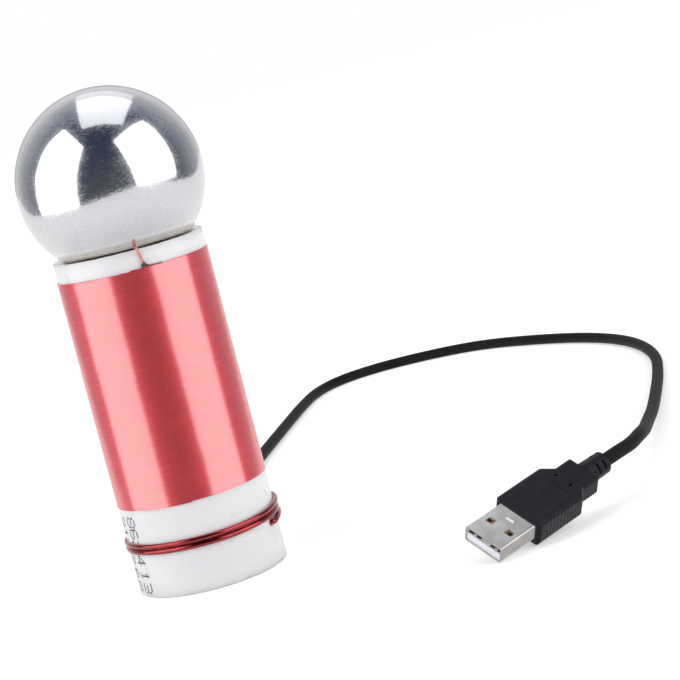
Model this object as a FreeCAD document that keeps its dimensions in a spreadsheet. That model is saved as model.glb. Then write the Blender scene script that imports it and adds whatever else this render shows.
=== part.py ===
import FreeCAD, Part
import math
import os
import re

import Sketcher

# A small resonant transformer that stands on a desk and is fed by a usb lead.
# Millimetres. The origin is the centre of the tube's foot, +Z runs up the tube,
# -Y is the front, and the lead leaves through the back of the wall.
# An azimuth is counted in degrees from the front towards +X.

Vector = FreeCAD.Vector
Placement = FreeCAD.Placement
Rotation = FreeCAD.Rotation

SIZES = {
    # plastic tube
    "tube_outer": 41.5,
    "tube_wall": 2.25,
    "tube_length": 93.5,
    "tube_edge": 0.35,
    # hollow steel ball, resting in the mouth
    "ball_outer": 51.0,
    "ball_wall": 0.8,
    "ball_gap": 0.3,
    # fine winding
    "coil_start": 24.8,
    "coil_rim_margin": 5.2,
    "coil_wire": 0.2,
    "coil_gap": 0.02,
    # tails of the fine winding
    "tail_wire": 0.45,
    "tail_gap": 0.08,
    "tail_bend": 0.4,
    "tail_reach": 0.35,
    "anchor_hole": 1.6,
    "anchor_rise": 0.5,
    "anchor_depth": 1.6,
    "anchor_run": 2.4,
    "anchor_azimuth": 8.0,
    "rim_azimuth": 5.8,
    "root_hole": 0.9,
    "root_rise": 0.5,
    "root_inset": 2.1,
    "root_azimuth": -2.9,
    # thick winding
    "band_wire": 1.5,
    "band_gap": 0.45,
    "band_seat": 0.05,
    "band_start": 11.36,
    "band_bend": 1.6,
    "band_run": 6.4,
    "band_inset": 3.3,
    "band_hole": 2.3,
    "band_start_azimuth": 58.0,
    "band_end_azimuth": 128.0,
    # foot disc pressed into the tube
    "disc_recess": 1.0,
    "disc_thick": 2.0,
    "disc_gap": 0.03,
    # board, its spacers and screws
    "spacer_length": 3.6,
    "spacer_width": 4.4,
    "board_thick": 1.6,
    "board_margin": 1.5,
    "board_flat": 12.0,
    "screw_shank": 2.5,
    "screw_head": 4.4,
    "screw_head_height": 1.5,
    "screw_slot": 0.6,
    "screw_fit": 0.04,
    # legs and solder of the parts on the board
    "leg_stub": 1.0,
    "leg_gap": 0.15,
    "leg_wire": 0.6,
    "solder_height": 0.8,
    "solder_foot": 0.5,
    "solder_neck": 0.15,
    "solder_gap": 0.02,
    # power transistor
    "case_width": 10.0,
    "case_height": 9.0,
    "case_thick": 3.2,
    "case_chamfer": 0.5,
    "tab_thick": 1.3,
    "tab_height": 15.5,
    "tab_hole": 3.6,
    "tab_hole_drop": 2.8,
    "pin_pitch": 2.54,
    "pin_width": 0.8,
    "pin_thick": 0.5,
    "pin_depth": 2.7,
    "pin_free": 4.8,
    # heat sink and its screw
    "sink_width": 14.0,
    "sink_plate": 1.6,
    "sink_depth": 7.6,
    "sink_fin": 1.0,
    "sink_height": 20.0,
    "sink_lift": 0.3,
    "clamp_shank": 3.0,
    "clamp_head": 5.4,
    "clamp_head_height": 1.8,
    # smoothing capacitor
    "can_width": 6.3,
    "can_height": 11.0,
    "can_groove": 0.35,
    "can_groove_height": 1.6,
    "can_pitch": 2.5,
    "can_lift": 0.3,
    # base resistor
    "resistor_width": 2.3,
    "resistor_waist": 1.9,
    "resistor_length": 6.3,
    "resistor_cap": 1.4,
    "resistor_pitch": 10.16,
    "resistor_lift": 1.6,
    "resistor_bend": 0.9,
    # indicator lamp
    "lamp_width": 3.0,
    "lamp_flange": 3.8,
    "lamp_flange_height": 1.0,
    "lamp_body": 3.2,
    "lamp_lift": 2.0,
    "lamp_pitch": 2.54,
    # usb lead and its two conductors
    "cable_width": 3.7,
    "cable_height": 6.2,
    "cable_hole": 4.1,
    "core_width": 1.2,
    "core_pitch": 1.5,
    "core_bend": 1.2,
    "core_rise": 3.0,
    "core_lap": 2.5,
    "core_gap": 0.5,
    "core_pad_pitch": 3.6,
    # cable tie behind the wall
    "tie_width": 2.5,
    "tie_thick": 1.1,
    "tie_gap": 0.05,
    "tie_clear": 0.8,
    "tie_head_width": 4.5,
    "tie_head_height": 3.0,
    "tie_tail": 1.6,
    # usb plug, metal shell
    "shell_width": 12.0,
    "shell_height": 4.5,
    "shell_wall": 0.3,
    "shell_free": 12.45,
    "shell_hidden": 4.0,
    "shell_corner": 0.7,
    "window_length": 2.0,
    "window_width": 2.3,
    "window_start": 5.2,
    "window_inset": 1.95,
    "latch_start": 9.3,
    "latch_length": 2.75,
    "latch_width": 0.95,
    "seam_width": 0.15,
    # usb plug, insulator and contacts
    "tongue_recess": 0.4,
    "tongue_top": 0.1,
    "tongue_gap": 0.04,
    "contact_width": 1.0,
    "contact_thick": 0.25,
    "contact_inner_pitch": 2.0,
    "contact_outer_pitch": 7.0,
    "contact_outer_start": 1.3,
    "contact_inner_start": 2.3,
    "contact_end": 11.5,
    # usb plug, moulding
    "mould_width": 15.0,
    "mould_height": 6.9,
    "mould_length": 16.6,
    "mould_round": 1.0,
    "mould_fit": 0.02,
    "shoulder_length": 2.6,
    "neck_width": 10.2,
    "neck_height": 5.6,
    "neck_length": 6.2,
    "neck_round": 0.8,
    "panel_start": 1.2,
    "panel_end": 15.2,
    "panel_width": 9.2,
    "panel_bow": 0.4,
    "panel_depth": 0.15,
    "dot_width": 1.0,
    "dot_pitch": 5.0,
    "dot_depth": 0.5,
    "dot_end": 17.3,
    "relief_length": 7.7,
    "relief_front": 6.5,
    "relief_rear": 6.1,
    "relief_plain": 3.1,
    "relief_slot": 0.7,
    "relief_slot_pitch": 1.15,
    "relief_spine": 2.2,
    "relief_web": 1.4,
    "relief_core": 4.1,
    "plug_roll": 31.9,
    # extra length of every cut
    "overrun": 1.0,
}

DERIVED = {
    "tube_radius": "tube_outer / 2",
    "bore_radius": "tube_outer / 2 - tube_wall",
    "ball_centre": "tube_length + ball_gap + sqrt((ball_outer / 2)^2 - bore_radius^2)",
    "coil_end": "tube_length - coil_rim_margin",
    "coil_length": "coil_end - coil_start",
    "disc_top": "disc_recess + disc_thick",
    "board_base": "disc_top + spacer_length",
    "board_top": "board_base + board_thick",
    "board_radius": "bore_radius - board_margin",
    "case_base": "board_top + pin_free",
    "tab_hole_height": "case_base + tab_height - tab_hole_drop",
    "tie_inner": "cable_width / 2 + tie_gap",
    "tie_start": "bore_radius - tie_clear - tie_width",
    "shoulder_end": "shell_free + mould_length + shoulder_length",
    "neck_end": "shoulder_end + neck_length",
    "relief_end": "neck_end + relief_length",
}

# places on the board, as shares of its radius, x and y
SCREW_PLACE_SHARES = ((0.40, -0.69), (-0.56, -0.56), (-0.56, 0.47), (0.32, 0.53))
CAN_PLACE_SHARES = (0.56, 0.235)
RESISTOR_PLACE_SHARES = (-0.68, -0.06)
LAMP_PLACE_SHARES = (-0.25, 0.42)
# part of the shorter run that each arc of the lead takes up
ARC_SHARE = 0.45
# largest part of a run that a bend of a held wire takes up
BEND_SHARE = 0.49
FIN_COUNT = 6
WHOLE_TURNS = 2
ARCS_PER_TURN = 4
# lengths that differ by less than this are the same
NEARLY = 1e-6

# route of the usb lead: out of the back of the tube, down to the table, round
# behind the tube and to the right, and up into the plug that leans on its edge
LEAD_ROUTE = (
    (0, 14.5, 6.2),
    (0, 27, 6.2),
    (1.2, 42, 3.6),
    (5, 62, 1.9),
    (13, 93, 1.9),
    (24.6, 134, 1.9),
    (36.4, 174, 1.9),
    (48.6, 214.5, 1.9),
    (56.2, 233.4, 1.9),
    (67.6, 245.6, 1.9),
    (84.2, 250, 1.9),
    (103.5, 247.3, 1.9),
    (121.6, 239.3, 1.9),
    (138.2, 220.2, 1.9),
    (154.6, 194, 1.9),
    (163.6, 164, 1.9),
    (163.1, 129.2, 1.9),
    (154.6, 94.4, 2.1),
    (145.2, 61.8, 2.9),
    (137, 33.4, 4.3),
    (130, 10.4, 6.6),
    (125.1, -7.4, 8.9),
    (121.6, -20.2, 11.1),
    (118.3, -29.3, 12.4),
    (114.6, -36.3, 12.4),
    (109.25, -41.69, 12.34),
    (104.21, -44.83, 11.48),
)

doc = FreeCAD.newDocument("ResonantTransformer")
sheet = doc.addObject("Spreadsheet::Sheet", "Sizes")
for row, (name, number) in enumerate(SIZES.items(), start=1):
    sheet.set(f"A{row}", name)
    sheet.set(f"B{row}", str(number))
    sheet.setAlias(f"B{row}", name)
doc.recompute()


def bound(text):
    """The expression that a property is bound to, with each word looked up."""

    def look_up(word):
        name = word.group()
        if name in DERIVED:
            return "(" + bound(DERIVED[name]) + ")"
        return "Sizes." + name if name in SIZES else name

    return re.sub(r"[a-z]\w*", look_up, text)


def size(text):
    return float(sheet.evalExpression(bound(text)))


def share_of(share, name):
    return f"{share} * {name}"


def bind(thing, path, text):
    if text != "0":
        thing.setExpression(path, bound(text))


# sketches

def new_body(label):
    body = doc.addObject("PartDesign::Body", label)
    body.Label = label
    return body


def sketch_on(body, role, lift="0", turn=0):
    plane = next(f for f in body.Origin.OriginFeatures if f.Role == role)
    sketch = body.newObject("Sketcher::SketchObject", body.Label + "_sketch")
    sketch.AttachmentSupport = [(plane, "")]
    sketch.MapMode = "FlatFace"
    sketch.AttachmentOffset = Placement(Vector(0, 0, size(lift)), Rotation(Vector(0, 1, 0), turn))
    bind(sketch, "AttachmentOffset.Base.z", lift)
    return sketch


def constrain(sketch, constraint, text):
    bind(sketch, f"Constraints[{sketch.addConstraint(constraint)}]", text)


def pin_point(sketch, shape, end, x, y):
    constrain(sketch, Sketcher.Constraint("DistanceX", -1, 1, shape, end, size(x)), x)
    constrain(sketch, Sketcher.Constraint("DistanceY", -1, 1, shape, end, size(y)), y)


def circle(sketch, x, y, radius):
    centre = Vector(size(x), size(y), 0)
    shape = sketch.addGeometry(Part.Circle(centre, Vector(0, 0, 1), size(radius)))
    constrain(sketch, Sketcher.Constraint("Radius", shape, size(radius)), radius)
    pin_point(sketch, shape, 3, x, y)


def outline(sketch, corners):
    """A closed outline. A corner is (x, y), or (x, y, radius, bow): the side that
    leaves it is then an arc of that radius, bowed to its right (1) or left (-1)."""
    points = [Vector(size(c[0]), size(c[1]), 0) for c in corners]
    shapes = []
    for here, corner in enumerate(corners):
        start = points[here]
        end = points[(here + 1) % len(points)]
        if len(corner) == 2:
            shapes.append((sketch.addGeometry(Part.LineSegment(start, end)), 1, 2))
            continue
        radius = size(corner[2])
        half = (end - start) * 0.5
        side = half.cross(Vector(0, 0, 1)).normalize() * corner[3]
        depth = math.sqrt(max(radius ** 2 - half.Length ** 2, 0))
        crown = start + half + side * (radius - depth)
        if corner[3] > 0:
            arc = sketch.addGeometry(Part.Arc(start, crown, end))
            shapes.append((arc, 1, 2))
        else:
            arc = sketch.addGeometry(Part.Arc(end, crown, start))
            shapes.append((arc, 2, 1))
        constrain(sketch, Sketcher.Constraint("Radius", arc, radius), corner[2])
    for here, corner in enumerate(corners):
        shape, first, last = shapes[here]
        following, its_first, _ = shapes[(here + 1) % len(shapes)]
        sketch.addConstraint(Sketcher.Constraint("Coincident", shape, last, following, its_first))
        pin_point(sketch, shape, first, corner[0], corner[1])


def rectangle(sketch, left, right, low, high):
    outline(sketch, ((left, low), (right, low), (right, high), (left, high)))


# features

def grows(body, before, feature, wanted):
    doc.recompute()
    change = feature.Shape.Volume - before
    if change * wanted <= 0:
        raise RuntimeError(f"{body.Label}: {feature.Label} changes the volume by {change}")
    return feature


def extrude(body, kind, sketch, length, reverse, symmetric, taper):
    doc.recompute()
    before = body.Shape.Volume if body.Tip else 0
    feature = body.newObject("PartDesign::" + kind, f"{body.Label}_{kind.lower()}")
    feature.Profile = sketch
    feature.Length = size(length)
    bind(feature, "Length", length)
    feature.Reversed = reverse
    feature.TaperAngle = taper
    if symmetric:
        feature.SideType = "Symmetric"
    return grows(body, before, feature, 1 if kind == "Pad" else -1)


def pad(body, sketch, length, reverse=False, symmetric=False, taper=0):
    return extrude(body, "Pad", sketch, length, reverse, symmetric, taper)


def pocket(body, sketch, length, reverse=False, symmetric=False):
    return extrude(body, "Pocket", sketch, length, reverse, symmetric, 0)


def revolve(body, sketch):
    feature = body.newObject("PartDesign::Revolution", body.Label + "_revolution")
    feature.Profile = sketch
    feature.ReferenceAxis = (sketch, ["V_Axis"])
    feature.Angle = 360
    return grows(body, 0, feature, 1)


def soften(body, kind, base, wanted, width):
    """A fillet or a chamfer on the edges of the last feature that wanted picks."""
    edges = [f"Edge{n}" for n, edge in enumerate(base.Shape.Edges, start=1) if wanted(edge)]
    feature = body.newObject("PartDesign::" + kind, f"{body.Label}_{kind.lower()}")
    feature.Base = (base, edges)
    path = "Radius" if kind == "Fillet" else "Size"
    setattr(feature, path, size(width))
    bind(feature, path, width)
    return grows(body, base.Shape.Volume, feature, -1)


def place(thing, x, y, z):
    thing.Placement.Base = Vector(size(x), size(y), size(z))
    for path, text in (("x", x), ("y", y), ("z", z)):
        bind(thing, "Placement.Base." + path, text)


# wires bent from runs and arcs

def around(azimuth, radius, height):
    angle = math.radians(azimuth)
    return Vector(radius * math.sin(angle), -radius * math.cos(angle), height)


def bent_path(points, bend=None):
    """Straight runs joined by tangent arcs. Without a bend radius each arc is as
    large as its two runs allow. Also gives the radii that were used."""
    edges = []
    radii = []
    last = points[0]
    for before, corner, after in zip(points, points[1:], points[2:]):
        to_corner = corner - before
        from_corner = after - corner
        half_turn = to_corner.getAngle(from_corner) / 2
        shorter = min(to_corner.Length, from_corner.Length)
        radius = ARC_SHARE * shorter / math.tan(half_turn)
        if bend is not None:
            radius = min(bend, BEND_SHARE * shorter / math.tan(half_turn))
        cut_back = radius * math.tan(half_turn)
        start = corner - to_corner.normalize() * cut_back
        end = corner + from_corner.normalize() * cut_back
        inward = (start + end) * 0.5 - corner
        crown = corner + inward.normalize() * (radius / math.cos(half_turn) - radius)
        edges.append(Part.LineSegment(last, start).toShape())
        edges.append(Part.Arc(start, crown, end).toShape())
        radii.append(radius)
        last = end
    edges.append(Part.LineSegment(last, points[-1]).toShape())
    return edges, radii


def tube_along(edges, radius):
    path = Part.Wire(edges)
    start = edges[0].valueAt(edges[0].FirstParameter)
    heading = edges[0].tangentAt(edges[0].FirstParameter)
    ring = Part.Wire([Part.Circle(start, heading, radius).toShape()])
    shell = Part.BRepOffsetAPI.MakePipeShell(path)
    shell.add(ring)
    shell.build()
    shell.makeSolid()
    return shell.shape()


def keep_shape(label, shape):
    feature = doc.addObject("Part::Feature", label)
    feature.Label = label
    feature.Shape = shape
    return feature


def held_wire(points, bend, width):
    edges, _ = bent_path([Vector(*point) for point in points], size(bend))
    return tube_along(edges, size(width) / 2)


# tube, ball and windings

def hole_side_shift():
    """How far a hole for the thick wire lies towards the wire's bend, so that it
    clears both sides of the wire where that dips below the tube's surface."""
    wire_radius = size("band_wire / 2")
    inner_side = size("band_bend") - wire_radius
    drop = size("band_bend - band_seat - band_wire / 2")
    reach = math.sqrt(max(inner_side ** 2 - drop ** 2, 0))
    return f"{(size('band_bend') - reach - wire_radius) / 2 / size('band_wire')} * band_wire"


def wall_hole(body, azimuth, height, width, shift="0"):
    sketch = sketch_on(body, "XZ_Plane", turn=azimuth)
    circle(sketch, shift, height, width + " / 2")
    pocket(body, sketch, "tube_radius + overrun", reverse=True)


def band_height(azimuth):
    """Height of the thick winding's centre line at a running azimuth."""
    pitch = size("band_wire + band_gap")
    return size("band_start") + pitch * (azimuth - size("band_start_azimuth")) / 360


def make_tube():
    body = new_body("tube")
    ring = sketch_on(body, "XY_Plane")
    circle(ring, "0", "0", "tube_radius")
    circle(ring, "0", "0", "bore_radius")
    wall = pad(body, ring, "tube_length")
    outside = size("tube_radius")

    def on_outer_end(edge):
        round_edge = isinstance(edge.Curve, Part.Circle)
        return round_edge and math.isclose(edge.Curve.Radius, outside, rel_tol=NEARLY)

    soften(body, "Chamfer", wall, on_outer_end, "tube_edge")
    wall_hole(body, size("anchor_azimuth"), "coil_end + anchor_rise", "anchor_hole")
    wall_hole(body, size("root_azimuth"), "coil_start + root_rise", "root_hole")
    shift = hole_side_shift()
    wall_hole(body, size("band_start_azimuth"), "band_start", "band_hole", shift)
    turns = f"({WHOLE_TURNS} + (band_end_azimuth - band_start_azimuth) / 360)"
    top_turn = "band_start + (band_wire + band_gap) * " + turns
    wall_hole(body, size("band_end_azimuth"), top_turn, "band_hole", "-" + shift)
    wall_hole(body, 180, "cable_height", "cable_hole")
    return body


def make_ball():
    outer = doc.addObject("Part::Sphere", "ball_outside")
    inner = doc.addObject("Part::Sphere", "ball_hollow")
    bind(outer, "Radius", "ball_outer / 2")
    bind(inner, "Radius", "ball_outer / 2 - ball_wall")
    for sphere in (outer, inner):
        place(sphere, "0", "0", "ball_centre")
    ball = doc.addObject("Part::Cut", "ball_terminal")
    ball.Base = outer
    ball.Tool = inner
    return ball


def make_secondary():
    body = new_body("secondary_winding")
    ring = sketch_on(body, "XY_Plane", lift="coil_start")
    circle(ring, "0", "0", "tube_radius + coil_gap + coil_wire")
    circle(ring, "0", "0", "tube_radius + coil_gap")
    pad(body, ring, "coil_length")
    return body


def make_top_tail():
    """From the last turn into the anchor hole, round in the wall, out again, up
    the outside and over the rim, where the ball sits on it."""
    outside = size("tube_radius + tail_gap + tail_wire / 2")
    inside = size("tube_radius - anchor_depth")
    hole_height = size("coil_end + anchor_rise")
    hole_side = math.degrees(size("anchor_hole / 2 - tail_wire / 2 - 2 * tail_gap") / outside)
    first = size("anchor_azimuth") + hole_side
    second = size("anchor_azimuth") - hole_side
    rim = size("rim_azimuth")
    run = math.degrees(size("anchor_run") / outside)
    over_rim = size("tube_length + tail_gap + tail_wire / 2")
    last_turn = size("coil_end + tail_gap + tail_wire / 2")
    return keep_shape("secondary_top_lead", held_wire((
        around(first + run, outside, last_turn),
        around(first, outside, hole_height),
        around(first, inside, hole_height),
        around(second, inside, hole_height),
        around(second, outside, hole_height),
        around(rim, outside, over_rim),
        around(rim, size("bore_radius + tail_wire + tail_reach"), over_rim),
    ), "tail_bend", "tail_wire"))


def make_bottom_tail():
    """From under the first turn through the wall and down to the board."""
    azimuth = size("root_azimuth")
    height = size("coil_start + root_rise")
    drop = size("bore_radius - root_inset")
    return keep_shape("secondary_bottom_lead", held_wire((
        around(azimuth, size("tube_radius"), height),
        around(azimuth, drop, height),
        around(azimuth, drop, size("board_top + solder_gap")),
    ), "tail_bend", "tail_wire"))


def biarc(start, heading, end, end_heading):
    """Two arcs that leave along one heading and arrive along the other."""
    chord = end - start
    both = heading + end_heading
    square = 2 * (heading.dot(end_heading) - 1)
    linear = -2 * chord.dot(both)
    constant = chord.dot(chord)
    if abs(square) < NEARLY:
        reach = -constant / linear
    else:
        root = math.sqrt(linear ** 2 - 4 * square * constant)
        reach = max((-linear + root) / (2 * square), (-linear - root) / (2 * square))
    first_corner = start + heading * reach
    last_corner = end - end_heading * reach
    joint = (first_corner + last_corner) * 0.5
    arcs = []
    for low, corner, high in ((start, first_corner, joint), (joint, last_corner, end)):
        middle = (low + high) * 0.5
        half = (high - low).Length / 2
        bow = corner - middle
        crown = middle + bow.normalize() * half * math.tan(math.acos(half / reach) / 2)
        arcs.append(Part.Arc(low, crown, high).toShape())
    return arcs


def least_gap(path, width):
    """Least distance of a wound wire's surface to itself, on points along it."""
    points = path.discretize(Distance=width)
    apart = int(math.pi * size("tube_outer") / width / 2)
    nearest = min(
        (points[far] - near).Length
        for here, near in enumerate(points)
        for far in range(here + apart, len(points))
    )
    return nearest - width


def make_primary():
    """Two turns and a part of thick wire over the foot of the fine winding. Both
    ends dive through the wall, bend down and stand on the board."""
    radius = size("tube_radius + band_seat + band_wire / 2")
    first = size("band_start_azimuth")
    last = size("band_end_azimuth") + 360 * WHOLE_TURNS
    stand = size("bore_radius - band_inset")
    foot = size("board_top + solder_gap")
    bend = size("band_bend")
    run_in = size("band_run")
    climb = size("band_wire + band_gap") / (2 * math.pi * radius)

    def heading(azimuth):
        angle = math.radians(azimuth)
        return Vector(math.cos(angle), math.sin(angle), climb).normalize()

    def end_of_wire(azimuth, away):
        height = band_height(azimuth)
        corner = around(azimuth, radius, height)
        points = [
            around(azimuth, stand, foot),
            around(azimuth, stand, height),
            corner,
            corner + heading(azimuth) * away,
        ]
        edges, _ = bent_path(points, bend)
        return edges[:-1], edges[-2].valueAt(edges[-2].LastParameter)

    start_edges, start = end_of_wire(first, run_in)
    end_edges, end = end_of_wire(last, -run_in)
    spans = round((last - first) * ARCS_PER_TURN / 360)
    stops = [first + (last - first) * step / spans for step in range(1, spans)]
    points = [start] + [around(stop, radius, band_height(stop)) for stop in stops] + [end]
    headings = [heading(azimuth) for azimuth in [first] + stops + [last]]
    turns = []
    for here in range(len(points) - 1):
        turns += biarc(points[here], headings[here], points[here + 1], headings[here + 1])
    turned_back = []
    for edge in reversed(end_edges):
        low = edge.valueAt(edge.FirstParameter)
        high = edge.valueAt(edge.LastParameter)
        if isinstance(edge.Curve, Part.Line):
            turned_back.append(Part.LineSegment(high, low).toShape())
        else:
            middle = edge.valueAt((edge.FirstParameter + edge.LastParameter) / 2)
            turned_back.append(Part.Arc(high, middle, low).toShape())
    width = size("band_wire")
    print("thick winding, least gap to itself", round(least_gap(Part.Wire(turns), width), 3))
    return keep_shape("primary_winding", tube_along(start_edges + turns + turned_back, width / 2))


# foot disc, spacers, screws and board

def screw_places():
    return [(share_of(x, "board_radius"), share_of(y, "board_radius"))
            for x, y in SCREW_PLACE_SHARES]


def make_disc():
    body = new_body("base_disc")
    face = sketch_on(body, "XY_Plane", lift="disc_recess")
    circle(face, "0", "0", "bore_radius - disc_gap")
    pad(body, face, "disc_thick")
    holes = sketch_on(body, "XY_Plane", lift="disc_top + overrun")
    for x, y in screw_places():
        circle(holes, x, y, "screw_shank / 2 + screw_fit")
    pocket(body, holes, "disc_thick + 2 * overrun")
    return body


def make_spacers():
    body = new_body("board_standoffs")
    rings = sketch_on(body, "XY_Plane", lift="disc_top")
    for x, y in screw_places():
        circle(rings, x, y, "spacer_width / 2")
        circle(rings, x, y, "screw_shank / 2 + leg_gap")
    pad(body, rings, "spacer_length")
    return body


def make_board_screws():
    body = new_body("board_screws")
    heads = sketch_on(body, "XY_Plane", lift="board_top")
    for x, y in screw_places():
        circle(heads, x, y, "screw_head / 2")
    pad(body, heads, "screw_head_height")
    shanks = sketch_on(body, "XY_Plane", lift="board_top")
    for x, y in screw_places():
        circle(shanks, x, y, "screw_shank / 2")
    pad(body, shanks, "board_thick + spacer_length + disc_thick", reverse=True)
    slots = sketch_on(body, "XY_Plane", lift="board_top + screw_head_height")
    for x, y in screw_places():
        rectangle(slots, f"{x} - screw_head", f"{x} + screw_head",
                  f"{y} - screw_slot / 2", f"{y} + screw_slot / 2")
    pocket(body, slots, "screw_head_height / 2")
    return body


def transistor_legs():
    return [(place, "pin_depth") for place in ("-pin_pitch", "0", "pin_pitch")]


def round_legs():
    """Places of the round legs: capacitor, resistor, lamp."""
    can_x, can_y = (share_of(share, "board_radius") for share in CAN_PLACE_SHARES)
    body_x, body_y = (share_of(share, "board_radius") for share in RESISTOR_PLACE_SHARES)
    lamp_x, lamp_y = (share_of(share, "board_radius") for share in LAMP_PLACE_SHARES)
    return {
        "can": [(can_x, f"{can_y} - can_pitch / 2"), (can_x, f"{can_y} + can_pitch / 2")],
        "resistor": [(body_x, f"{body_y} - resistor_pitch / 2"),
                     (body_x, f"{body_y} + resistor_pitch / 2")],
        "lamp": [(f"{lamp_x} - lamp_pitch / 2", lamp_y), (f"{lamp_x} + lamp_pitch / 2", lamp_y)],
    }


def make_board():
    body = new_body("circuit_board")
    face = sketch_on(body, "XY_Plane", lift="board_base")
    flat_half = "sqrt(board_radius^2 - board_flat^2)"
    foot = "-board_radius"
    outline(face, (
        (flat_half, "board_flat"),
        ("-" + flat_half, "board_flat", "board_radius", 1),
        ("0", foot, "board_radius", 1),
    ))
    pad(body, face, "board_thick")
    holes = sketch_on(body, "XY_Plane", lift="board_top + overrun")
    for x, y in screw_places():
        circle(holes, x, y, "screw_shank / 2 + leg_gap")
    for x, y in transistor_legs():
        circle(holes, x, y, "pin_width / 2 + leg_gap")
    for places in round_legs().values():
        for x, y in places:
            circle(holes, x, y, "leg_wire / 2 + leg_gap")
    pocket(body, holes, "board_thick + 2 * overrun")
    return body


# parts on the board

def make_transistor_case():
    body = new_body("transistor_body")
    face = sketch_on(body, "XZ_Plane", lift="-tab_thick")
    rectangle(face, "-case_width / 2", "case_width / 2", "case_base", "case_base + case_height")
    block = pad(body, face, "case_thick", reverse=True)
    front = size("tab_thick + case_thick")

    def on_front(edge):
        return all(abs(vertex.Point.y - front) < NEARLY for vertex in edge.Vertexes)

    soften(body, "Chamfer", block, on_front, "case_chamfer")
    return body


def make_transistor_tab():
    body = new_body("transistor_tab")
    face = sketch_on(body, "XZ_Plane")
    rectangle(face, "-case_width / 2", "case_width / 2", "case_base", "case_base + tab_height")
    circle(face, "0", "tab_hole_height", "tab_hole / 2")
    pad(body, face, "tab_thick", reverse=True)
    return body


def make_transistor_legs():
    body = new_body("transistor_leads")
    feet = sketch_on(body, "XY_Plane", lift="board_base - leg_stub")
    for x, y in transistor_legs():
        rectangle(feet, f"{x} - pin_width / 2", f"{x} + pin_width / 2",
                  f"{y} - pin_thick / 2", f"{y} + pin_thick / 2")
    pad(body, feet, "leg_stub + board_thick + pin_free")
    return body


def make_heat_sink():
    body = new_body("heat_sink")
    base = "board_top + sink_lift"
    plate = sketch_on(body, "XY_Plane", lift=base)
    rectangle(plate, "-sink_width / 2", "sink_width / 2", "-sink_plate", "0")
    pad(body, plate, "sink_height")
    fin = sketch_on(body, "XY_Plane", lift=base)
    rectangle(fin, "-sink_width / 2", "-sink_width / 2 + sink_fin", "-sink_depth", "-sink_plate")
    first_fin = pad(body, fin, "sink_height")
    fins = body.newObject("PartDesign::LinearPattern", "heat_sink_fins")
    fins.Originals = [first_fin]
    fins.Direction = (fin, ["H_Axis"])
    fins.Occurrences = FIN_COUNT
    bind(fins, "Length", "sink_width - sink_fin")
    body.Tip = fins
    doc.recompute()
    hole = sketch_on(body, "XZ_Plane", lift="-overrun")
    circle(hole, "0", "tab_hole_height", "clamp_shank / 2 + screw_fit")
    pocket(body, hole, "sink_plate + 2 * overrun", reverse=True)
    return body


def make_clamp_screw():
    body = new_body("heat_sink_screw")
    shank = sketch_on(body, "XZ_Plane", lift="-tab_thick")
    circle(shank, "0", "tab_hole_height", "clamp_shank / 2")
    pad(body, shank, "tab_thick + sink_plate")
    head = sketch_on(body, "XZ_Plane", lift="-tab_thick")
    circle(head, "0", "tab_hole_height", "clamp_head / 2")
    pad(body, head, "clamp_head_height", reverse=True)
    slot = sketch_on(body, "XZ_Plane", lift="-tab_thick - clamp_head_height")
    rectangle(slot, "-clamp_head", "clamp_head",
              "tab_hole_height - screw_slot / 2", "tab_hole_height + screw_slot / 2")
    pocket(body, slot, "clamp_head_height / 2", reverse=True)
    return body


def make_can():
    body = new_body("electrolytic_capacitor")
    half = sketch_on(body, "XZ_Plane")
    waist = "can_width / 2 - can_groove"
    outline(half, (
        ("0", "0"),
        ("can_width / 2", "0"),
        ("can_width / 2", "can_groove_height - can_groove"),
        (waist, "can_groove_height"),
        ("can_width / 2", "can_groove_height + can_groove"),
        ("can_width / 2", "can_height - can_groove"),
        (waist, "can_height"),
        ("0", "can_height"),
    ))
    revolve(body, half)
    x, y = (share_of(share, "board_radius") for share in CAN_PLACE_SHARES)
    place(body, x, y, "board_top + can_lift")
    return body


def make_straight_legs(label, places, top):
    body = new_body(label)
    feet = sketch_on(body, "XY_Plane", lift="board_base - leg_stub")
    for x, y in places:
        circle(feet, x, y, "leg_wire / 2")
    pad(body, feet, f"leg_stub + board_thick + {top}")
    return body


def make_resistor():
    body = new_body("base_resistor")
    half = sketch_on(body, "XZ_Plane")
    wide = "resistor_width / 2"
    waist = "resistor_waist / 2"
    end = "resistor_length / 2"
    outline(half, (
        ("0", "-" + end),
        (waist, "-" + end),
        (wide, f"-{end} + resistor_cap / 2"),
        (waist, f"-{end} + resistor_cap"),
        (waist, f"{end} - resistor_cap"),
        (wide, f"{end} - resistor_cap / 2"),
        (waist, end),
        ("0", end),
    ))
    revolve(body, half)
    body.Placement = Placement(Vector(0, 0, 0), Rotation(Vector(1, 0, 0), 90))
    x, y = (share_of(share, "board_radius") for share in RESISTOR_PLACE_SHARES)
    place(body, x, y, "board_top + resistor_lift")
    return body


def make_resistor_legs():
    x, y = (size(share_of(share, "board_radius")) for share in RESISTOR_PLACE_SHARES)
    height = size("board_top + resistor_lift")
    foot = size("board_base - leg_stub")
    legs = []
    for side in (-1, 1):
        legs.append(held_wire((
            (x, y + side * size("resistor_length / 2"), height),
            (x, y + side * size("resistor_pitch / 2"), height),
            (x, y + side * size("resistor_pitch / 2"), foot),
        ), "resistor_bend", "leg_wire"))
    return keep_shape("resistor_leads", Part.makeCompound(legs))


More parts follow.
